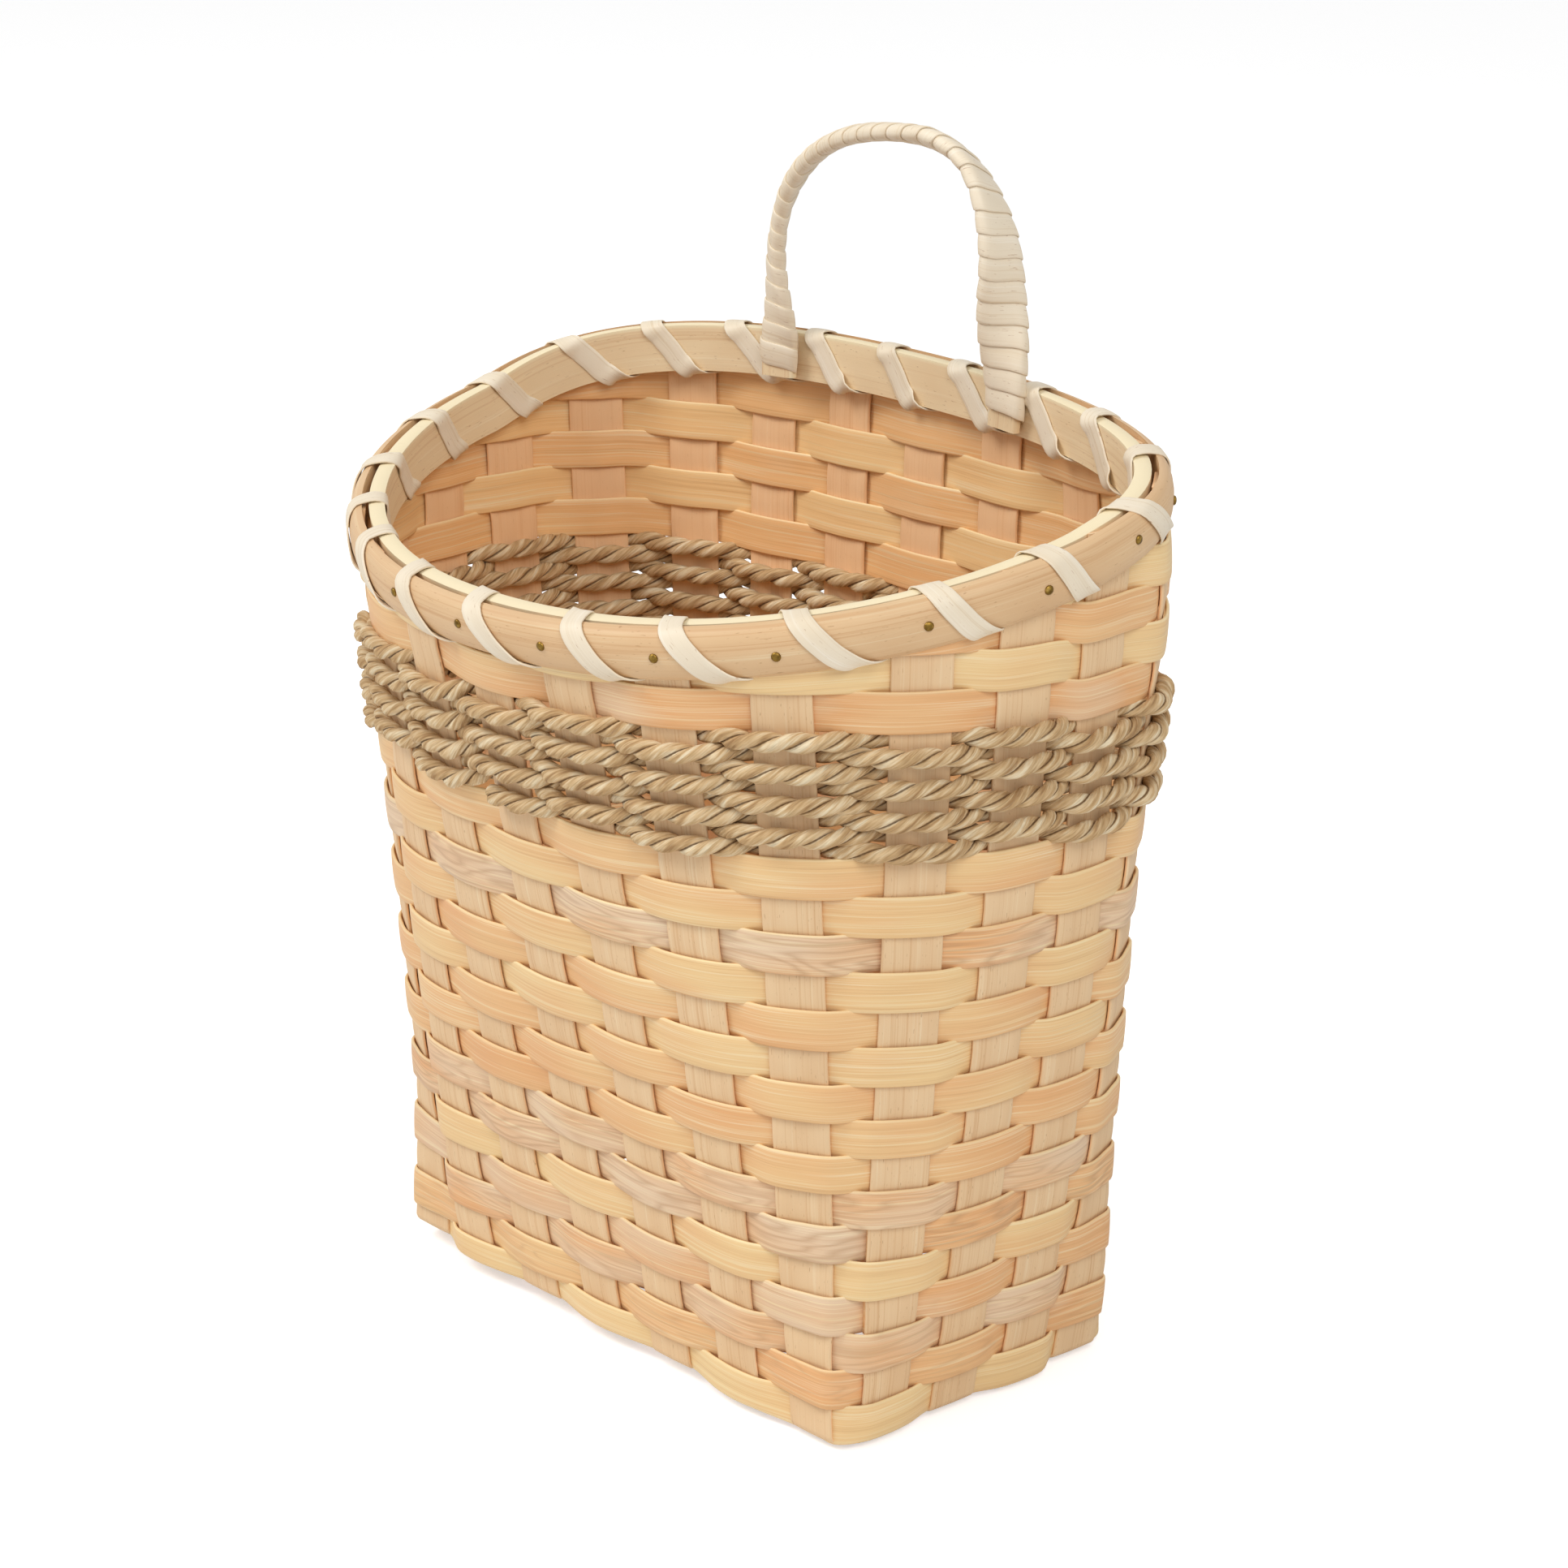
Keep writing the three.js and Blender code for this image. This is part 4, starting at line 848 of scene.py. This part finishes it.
# Rim hoops.
# A flat hoop inside and a half-round hoop outside clamp the strips' ends; both are about 13 mm high, are
# steamed wood bent to the mouth's oval and rise to the back. Their scarf laps are left out.
INNER_HOOP_THICKNESS = 4.1
OUTER_HOOP_THICKNESS = 3.8
HOOP_OFFSET = 0.9
INNER_FACE = HOOP_OFFSET + INNER_HOOP_THICKNESS
HOOP_ROUND = 0.8
HOOP_STEPS = 260
# Where round the mouth a hoop's ends meet.
HOOP_SEAM = 2.4
HOOP_FINISH = splint_wood("steamed ash hoop", "#E6CBA2", "#DEBA8E", "#C89868", 0.52)
INNER_FINISH = splint_wood("sawn ash hoop, pale", "#F6E3C0", "#EED5AC", "#D8B286", 0.62, "#F4E5C0")


def hoop_path(middle, half_thickness, seed):
    rows = []
    for k in range(HOOP_STEPS):
        point, around, out, up = rim_frame(2 * math.pi * k / HOOP_STEPS + HOOP_SEAM)
        rows.append([*(point + out * middle), *up, *out])
    rows.append(rows[0])
    return carried(rows, RIM_HEIGHT / 2, half_thickness, seed=seed)


def half_round_section():
    """Flat face inside, rounded outside."""
    outline = [(1.0, -1.0), (-1.0, -1.0)]
    for k in range(1, 12):
        turn = math.pi * k / 12
        outline.append((-math.cos(turn), -1 + 2 * math.sin(turn) ** HOOP_ROUND))
    return outline


half = INNER_HOOP_THICKNESS / 2
section = flat_section(RIM_HEIGHT, INNER_HOOP_THICKNESS, 0.0, 0.16)
mesh = reed("hoop", hoop_path(-(HOOP_OFFSET + half), half, 1.5), section, INNER_FINISH)
put_piece("hoop_inner", mesh, ["rim_inner_hoop"])
half = OUTER_HOOP_THICKNESS / 2
mesh = reed("hoop", hoop_path(HOOP_OFFSET + half, half, 6.5), half_round_section(), HOOP_FINISH)
put_piece("hoop_outer", mesh, ["rim_outer_hoop"])

# Rim lashing.
# One pale strip of cane, 6 mm wide, spirals round both hoops, once per upright strip. It is drawn tight, so
# that it slants down to the right on both faces, and passes behind the handle's feet.
LASH_WIDTH = 6.0
LASH_THICKNESS = 0.5
LASH_LIFT = 0.38
# Where each turn crosses the top and where it goes under, counted in upright strips round the rim.
LASH_TOPS = [0.03, 0.83, 1.94, 3.05, 4.27, 5.22, 6.19, 7.14, 8.24, 9.35, 10.5, 11.54, 12.52, 13.54, 14.45,
             15.4, 16.45, 17.39, 18.27, 19.2, 20.25, 21.28]
LASH_UNDERS = [0.55, 1.5, 2.56, 3.75, 4.82, 5.75, 6.62, 7.58, 8.63, 9.9, 10.72, 11.76, 12.83, 13.87, 14.77,
               15.65, 16.8, 17.68, 18.8, 19.95, 20.95, 21.9]
# One turn: share of the way to the top and height inside, then share of the way under and height outside,
# in half heights of the hoops.
LASH_INSIDE = ((0.2, -0.97), (0.42, -0.6), (0.6, 0), (0.76, 0.5), (0.88, 0.9))
LASH_OUTSIDE = ((0.08, 0.9), (0.17, 0.6), (0.33, 0.1), (0.5, -0.4), (0.7, -0.8), (0.86, -0.97))
RIM_SAMPLES = 720
rim_lengths = lengths_along([rim_point(2 * math.pi * k / RIM_SAMPLES) for k in range(RIM_SAMPLES + 1)])
RIM_LENGTH = rim_lengths[-1]


def rim_at(length):
    turns, rest = divmod(length, RIM_LENGTH)
    share = np.interp(rest, rim_lengths, np.arange(RIM_SAMPLES + 1))
    return rim_frame(2 * math.pi * (turns + share / RIM_SAMPLES))


def length_at(angle):
    return np.interp(angle / (2 * math.pi) % 1 * RIM_SAMPLES, np.arange(RIM_SAMPLES + 1), rim_lengths)


stake_lengths = [length_at(angle_of(stake_point(k, RIM_SIDE_LEVEL))) for k in range(STAKES)]


def place_length(step):
    """Length round the rim at a place counted in strips."""
    def at(k):
        base = stake_lengths[k % STAKES]
        return base + (RIM_LENGTH if base < stake_lengths[0] - 1 else 0) + k // STAKES * RIM_LENGTH
    low = math.floor(step)
    return mix(at(low), at(low + 1), step - low)


def outer_face(up):
    """Distance of the outer hoop's rounded face from the rim's middle, at a share of its half height."""
    return HOOP_OFFSET + OUTER_HOOP_THICKNESS * (1 - up * up) ** (HOOP_ROUND / 2)


def lash_stations(wrap):
    """Place between strips, distance out and distance up from the rim's middle, once round both hoops."""
    half = RIM_HEIGHT / 2
    before = LASH_UNDERS[wrap - 1] - (STAKES if wrap == 0 else 0)
    over, after = LASH_TOPS[wrap], LASH_UNDERS[wrap]
    rows = [(before, 0.0, -half - LASH_LIFT)]
    for share, up in LASH_INSIDE:
        rows.append((mix(before, over, share), -INNER_FACE - LASH_LIFT, half * up))
    rows.append((mix(before, over, 0.94), -INNER_FACE * 0.75, half + LASH_LIFT))
    rows.append((over, 0.0, half + LASH_LIFT))
    for share, up in LASH_OUTSIDE:
        rows.append((mix(over, after, share), outer_face(up) + LASH_LIFT, half * up))
    return rows


def lash_path():
    rows = []
    for wrap in range(STAKES):
        for step, out, up in lash_stations(wrap):
            f = rim_at(place_length(step))
            rows.append([*(f[0] + f[2] * out + f[3] * up), *f[2], *f[3], out, up])
    path = smooth_path(rows, False, 1.2)
    way = unit(np.gradient(path[:, :3], axis=0))
    turn = np.gradient(path[:, 9:11], axis=0)
    facing = path[:, 6:9] * turn[:, :1] - path[:, 3:6] * turn[:, 1:]
    facing -= way * np.sum(way * facing, axis=1)[:, None]
    facing = unit(facing)
    for _ in range(2):
        facing[1:-1] = (facing[:-2] + facing[1:-1] * 2 + facing[2:]) / 4
        facing = unit(facing)
    ribbon = np.hstack([path[:, :3], np.cross(way, facing), facing])
    return carried(ribbon, LASH_WIDTH / 2, LASH_THICKNESS / 2, seed=2.2)


CANE_FINISH = splint_wood("split cane, pale cream", "#F6ECDA", "#EEE0C8", "#DAC4A2", 0.5)
lash = reed("lash", lash_path(), flat_section(LASH_WIDTH, LASH_THICKNESS, 0.5), CANE_FINISH)
put_piece("lashing", lash, ["rim_lashing"])

# Handle.
# A flat wooden band is bent to an arch; its feet are nailed to the inner hoop's face, over the lashing.
# A pale cane strip is wound round it from foot to foot, each turn lapping the one before.
HANDLE_FEET = (-48.6, 38)
# Points of the bent band above the rim: across, height and turn of its face from front to outward.
HANDLE_LINE = [
    (-47.6, 248, 12), (-48.5, 256.4, 27), (-48.9, 265, 36), (-47.5, 273.8, 43), (-43.2, 283.2, 57),
    (-35.9, 291.4, 68), (-23.4, 298.3, 80), (-10.6, 301.2, 92), (1.6, 302.1, 102), (13.5, 301.1, 117),
    (25.4, 295.2, 119), (30.8, 287.8, 108), (34, 279.7, 93), (35.3, 271.8, 83), (35.5, 263.8, 64),
    (36.3, 255.7, 38), (37, 249, 14),
]
HANDLE_WIDTH = 11
HANDLE_THICKNESS = 2.6
FOOT_HEIGHTS = (-5.5, -2.5, 0.5)
# The band's middle stands off the inner hoop by the lashing, the winding and half its own thickness.
LASH_ROOM = 0.7
WIND_ROOM = 0.6
FOOT_INSIDE = INNER_FACE + LASH_ROOM + WIND_ROOM + HANDLE_THICKNESS / 2
WIND_PITCH = 5.4
WIND_WIDTH = 6.4
WIND_START = 4.5
WIND_THICKNESS = 0.5
WIND_STEPS = 28
# How far the strip's lower and upper edge stand off the band.
WIND_LIFTS = (0.2, 0.85)


def foot_frame(x):
    """The rim's frame at the back, where it passes one place across."""
    angle = math.atan2(GIRTH_BACK_DEPTH, x)
    for _ in range(8):
        point = rim_point(angle)
        angle += (point[0] - x) / math.hypot(point[0], point[1])
    return rim_frame(angle)


def handle_frames():
    """The band's line from foot to foot: place, side and outward direction of its face."""
    feet = []
    for x in HANDLE_FEET:
        point, _, out, up = foot_frame(x)
        feet.append([(point - out * FOOT_INSIDE + up * height, -out, 0) for height in FOOT_HEIGHTS])
    rows = list(feet[0])
    for x, z, turn in HANDLE_LINE:
        share = (x - HANDLE_FEET[0]) / (HANDLE_FEET[1] - HANDLE_FEET[0])
        y = mix(feet[0][-1][0][1], feet[1][-1][0][1], share)
        rows.append((np.array([x, y, z]), np.array([0.0, -1.0, 0.0]), turn))
    rows += feet[1][::-1]
    ways = np.gradient(np.array([row[0] for row in rows]), axis=0)
    out = []
    for (place, front, turn), way in zip(rows, ways):
        way = unit(way)
        radial = unit(np.cross(way, np.array([0.0, 1.0, 0.0])))
        front = unit(front - way * front.dot(way))
        angle = math.radians(turn)
        face = unit(front * math.cos(angle) + radial * math.sin(angle))
        out.append([*place, *unit(np.cross(way, face)), *face])
    return smooth_path(out, False, 0.25)


handle_line = handle_frames()
handle_run = lengths_along(handle_line[:, :3])


def winding_path():
    """One strip round the band; both its edges lie on the band and the upper one on the turn before."""
    first, last = WIND_START, handle_run[-1] - WIND_START
    turns = int((last - first) / WIND_PITCH)
    rows = []
    for k in range(turns * WIND_STEPS + 1):
        turn = 2 * math.pi * k / WIND_STEPS
        at = mix(first, last, k / (turns * WIND_STEPS))
        c, s = math.cos(turn), math.sin(turn)
        edges = []
        for reach, lift in zip((-WIND_WIDTH / 2, WIND_WIDTH / 2), WIND_LIFTS):
            f = np.array([np.interp(at + reach, handle_run, handle_line[:, n]) for n in range(9)])
            a = math.copysign(abs(c) ** 0.5, c) * (HANDLE_WIDTH / 2 + lift)
            b = math.copysign(abs(s) ** 0.75, s) * (HANDLE_THICKNESS / 2 + lift)
            edges.append(f[:3] + unit(f[3:6]) * a + unit(f[6:9]) * b)
        facing = unit(f[3:6]) * math.copysign(abs(c) ** 3, c)
        facing += unit(f[6:9]) * math.copysign(abs(s) ** 0.8, s)
        side = edges[1] - edges[0]
        facing = unit(facing - side * facing.dot(side) / side.dot(side))
        rows.append([*((edges[0] + edges[1]) / 2), *side, *facing])
    full = carried(rows, 1, WIND_THICKNESS / 2, seed=4.4)
    full[:, 3:6] = np.array(rows)[:, 3:6] / 2
    return full


winding = reed("winding", winding_path(), flat_section(WIND_WIDTH, WIND_THICKNESS, 1.0, 0.7, 8), CANE_FINISH)
put_piece("handle_winding", winding, ["handle_wrap"])
band = carried(handle_line[::4], HANDLE_WIDTH / 2, HANDLE_THICKNESS / 2, seed=8.8)
band = reed("band", band, flat_section(HANDLE_WIDTH, HANDLE_THICKNESS, 0.0, 0.5), INNER_FINISH)
put_piece("handle_band", band, ["handle_core"])

# Brads.
# Small round-headed brads of brown brass, driven through the outer hoop at each upright strip.
BRAD_HEAD_RADIUS = 1.2
BRAD_HEAD_HEIGHT = 0.6
BRAD_HEAD_CLEAR = 0.05


def brass_finish():
    """Old brass: brown in the dips and brighter where it is rubbed."""
    finish, tree, shader = blank_material("aged brass", 0.38)
    shader.inputs["Metallic"].default_value = 1.0
    spot = node(tree, "ShaderNodeTexCoord").outputs["Object"]
    cloud = node(tree, "ShaderNodeTexNoise", {"Vector": spot, "Scale": 900.0, "Detail": 3.0}).outputs[0]
    colour = node(tree, "ShaderNodeValToRGB", {"Fac": cloud}, (
        (0.3, "#6A5024"), (0.55, "#8E7034"), (0.75, "#B89650")))
    tree.links.new(colour.outputs["Color"], shader.inputs["Base Color"])
    bump = node(tree, "ShaderNodeBump", {"Height": cloud, "Strength": 0.3, "Distance": 0.0001})
    tree.links.new(bump.outputs[0], shader.inputs["Normal"])
    return finish


def brad_tree():
    """A domed head on each point, turned to the point's out direction."""
    tree, given = piece_tree("brads", (
        ("Geometry", "Geometry"), ("Head Radius", "Float"), ("Head Height", "Float"), ("Finish", "Material")))
    ball = node(tree, "GeometryNodeMeshUVSphere", {
        "Segments": 12, "Rings": 8, "Radius": given["Head Radius"]})
    flat = node(
        tree, "ShaderNodeMath", {0: given["Head Height"], 1: given["Head Radius"]}, operation="DIVIDE")
    scale = node(tree, "ShaderNodeCombineXYZ", {0: 1.0, 1: 1.0, 2: flat.outputs[0]})
    head = node(tree, "GeometryNodeTransform", {"Geometry": ball.outputs["Mesh"], "Scale": scale.outputs[0]})
    out = node(tree, "GeometryNodeInputNamedAttribute", {"Name": "out"}, data_type="FLOAT_VECTOR")
    turned = node(tree, "FunctionNodeAlignRotationToVector", {"Vector": out.outputs["Attribute"]}, axis="Z")
    heads = node(tree, "GeometryNodeInstanceOnPoints", {
        "Points": given["Geometry"], "Instance": head.outputs["Geometry"],
        "Rotation": turned.outputs["Rotation"]})
    real = node(tree, "GeometryNodeRealizeInstances", {"Geometry": heads.outputs["Instances"]})
    real = node(tree, "GeometryNodeSetShadeSmooth", {"Geometry": real.outputs["Geometry"]})
    real = node(tree, "GeometryNodeSetMaterial", {
        "Geometry": real.outputs["Geometry"], "Material": given["Finish"]})
    node(tree, "NodeGroupOutput", {0: real.outputs["Geometry"]})
    return tree


# Places of the brads that were driven off their strips' middles: strip, place and height on the hoop.
BRAD_SHIFTS = {
    2: (1.84, 1.5), 3: (2.92, 1), 4: (3.98, 0.5), 5: (5.11, 0), 6: (6.04, -1), 7: (7.01, 0), 8: (8.09, 0),
    9: (9.18, 1),
}
seats = []
for index in range(STAKES):
    step, height = BRAD_SHIFTS.get(index, (index, 0))
    point, _, out, up = rim_at(place_length(step))
    clear = outer_face(2 * height / RIM_HEIGHT) + BRAD_HEAD_CLEAR
    seats.append((point + out * clear + up * height, out))
worker = add_object("brads", bpy.data.meshes.new("brads"))
worker.data.from_pydata([tuple((p + FRAME_SHIFT) / 1000) for p, _ in seats], [], [])
worker.data.attributes.new("out", "FLOAT_VECTOR", "POINT").data.foreach_set(
    "vector", np.array([o for _, o in seats], np.float32).ravel())
grow(worker, brad_tree(), {
    "Head Radius": BRAD_HEAD_RADIUS / 1000, "Head Height": BRAD_HEAD_HEIGHT / 1000, "Finish": brass_finish()})
cad_brads = sorted(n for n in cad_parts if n.startswith("brad_"))
put_piece("brad_heads", plain_mesh(worker), cad_brads)

# Floor and light.
# A plain white paper floor that keeps a soft shadow, and two wide soft lamps in front: the left one is nearer
# and harder, the right one fills in the right side. The world is dimmer for the basket than for the eye.
FLOOR_HALF = 6
PAPER_GLOW = 0.48
WORLD_LEVEL = 0.45
LAMPS = (
    ("lamp_left", (-0.9, -1.3, 1.7), 0.9, 21.8),
    ("lamp_right", (1.6, -0.7, 1.7), 1.2, 20),
)
scene = bpy.context.scene
scene.view_settings.view_transform = "Standard"
ground = bpy.data.meshes.new("floor")
corners = [(FLOOR_HALF * x, FLOOR_HALF * y, 0) for x, y in ((-1, -1), (1, -1), (1, 1), (-1, 1))]
ground.from_pydata(corners, [], [(0, 1, 2, 3)])
floor = add_object("floor", ground)
paper = bpy.data.materials.new("white paper")
paper.use_nodes = True
tree = paper.node_tree
shader = tree.nodes["Principled BSDF"]
shader.inputs["Base Color"].default_value = tint("#F4F4F4")
shader.inputs["Roughness"].default_value = 0.9
seen = node(tree, "ShaderNodeLightPath").outputs["Is Camera Ray"]
tree.links.new(seen, shader.inputs["Emission Strength"])
shader.inputs["Emission Color"].default_value = (PAPER_GLOW, PAPER_GLOW, PAPER_GLOW, 1)
ground.materials.append(paper)

world = bpy.data.worlds.new("studio")
scene.world = world
world.use_nodes = True
tree = world.node_tree
background = tree.nodes["Background"]
rays = node(tree, "ShaderNodeLightPath").outputs
seen = rays["Is Camera Ray"]
for kind in ("Is Glossy Ray", "Is Transmission Ray"):
    seen = node(tree, "ShaderNodeMath", {0: seen, 1: rays[kind]}, operation="MAXIMUM").outputs[0]
level = node(tree, "ShaderNodeMapRange", {"Value": seen, 3: WORLD_LEVEL, 4: 1.0}).outputs[0]
background.inputs["Color"].default_value = (1, 1, 1, 1)
tree.links.new(level, background.inputs["Strength"])

for name, place, size, power in LAMPS:
    light = bpy.data.lights.new(name, "AREA")
    light.shape = "SQUARE"
    light.size = size
    light.energy = power
    lamp = add_object(name, light)
    lamp.location = place
    lamp.rotation_euler = (Vector(place) - VIEW_TARGET).to_track_quat("Z", "Y").to_euler()

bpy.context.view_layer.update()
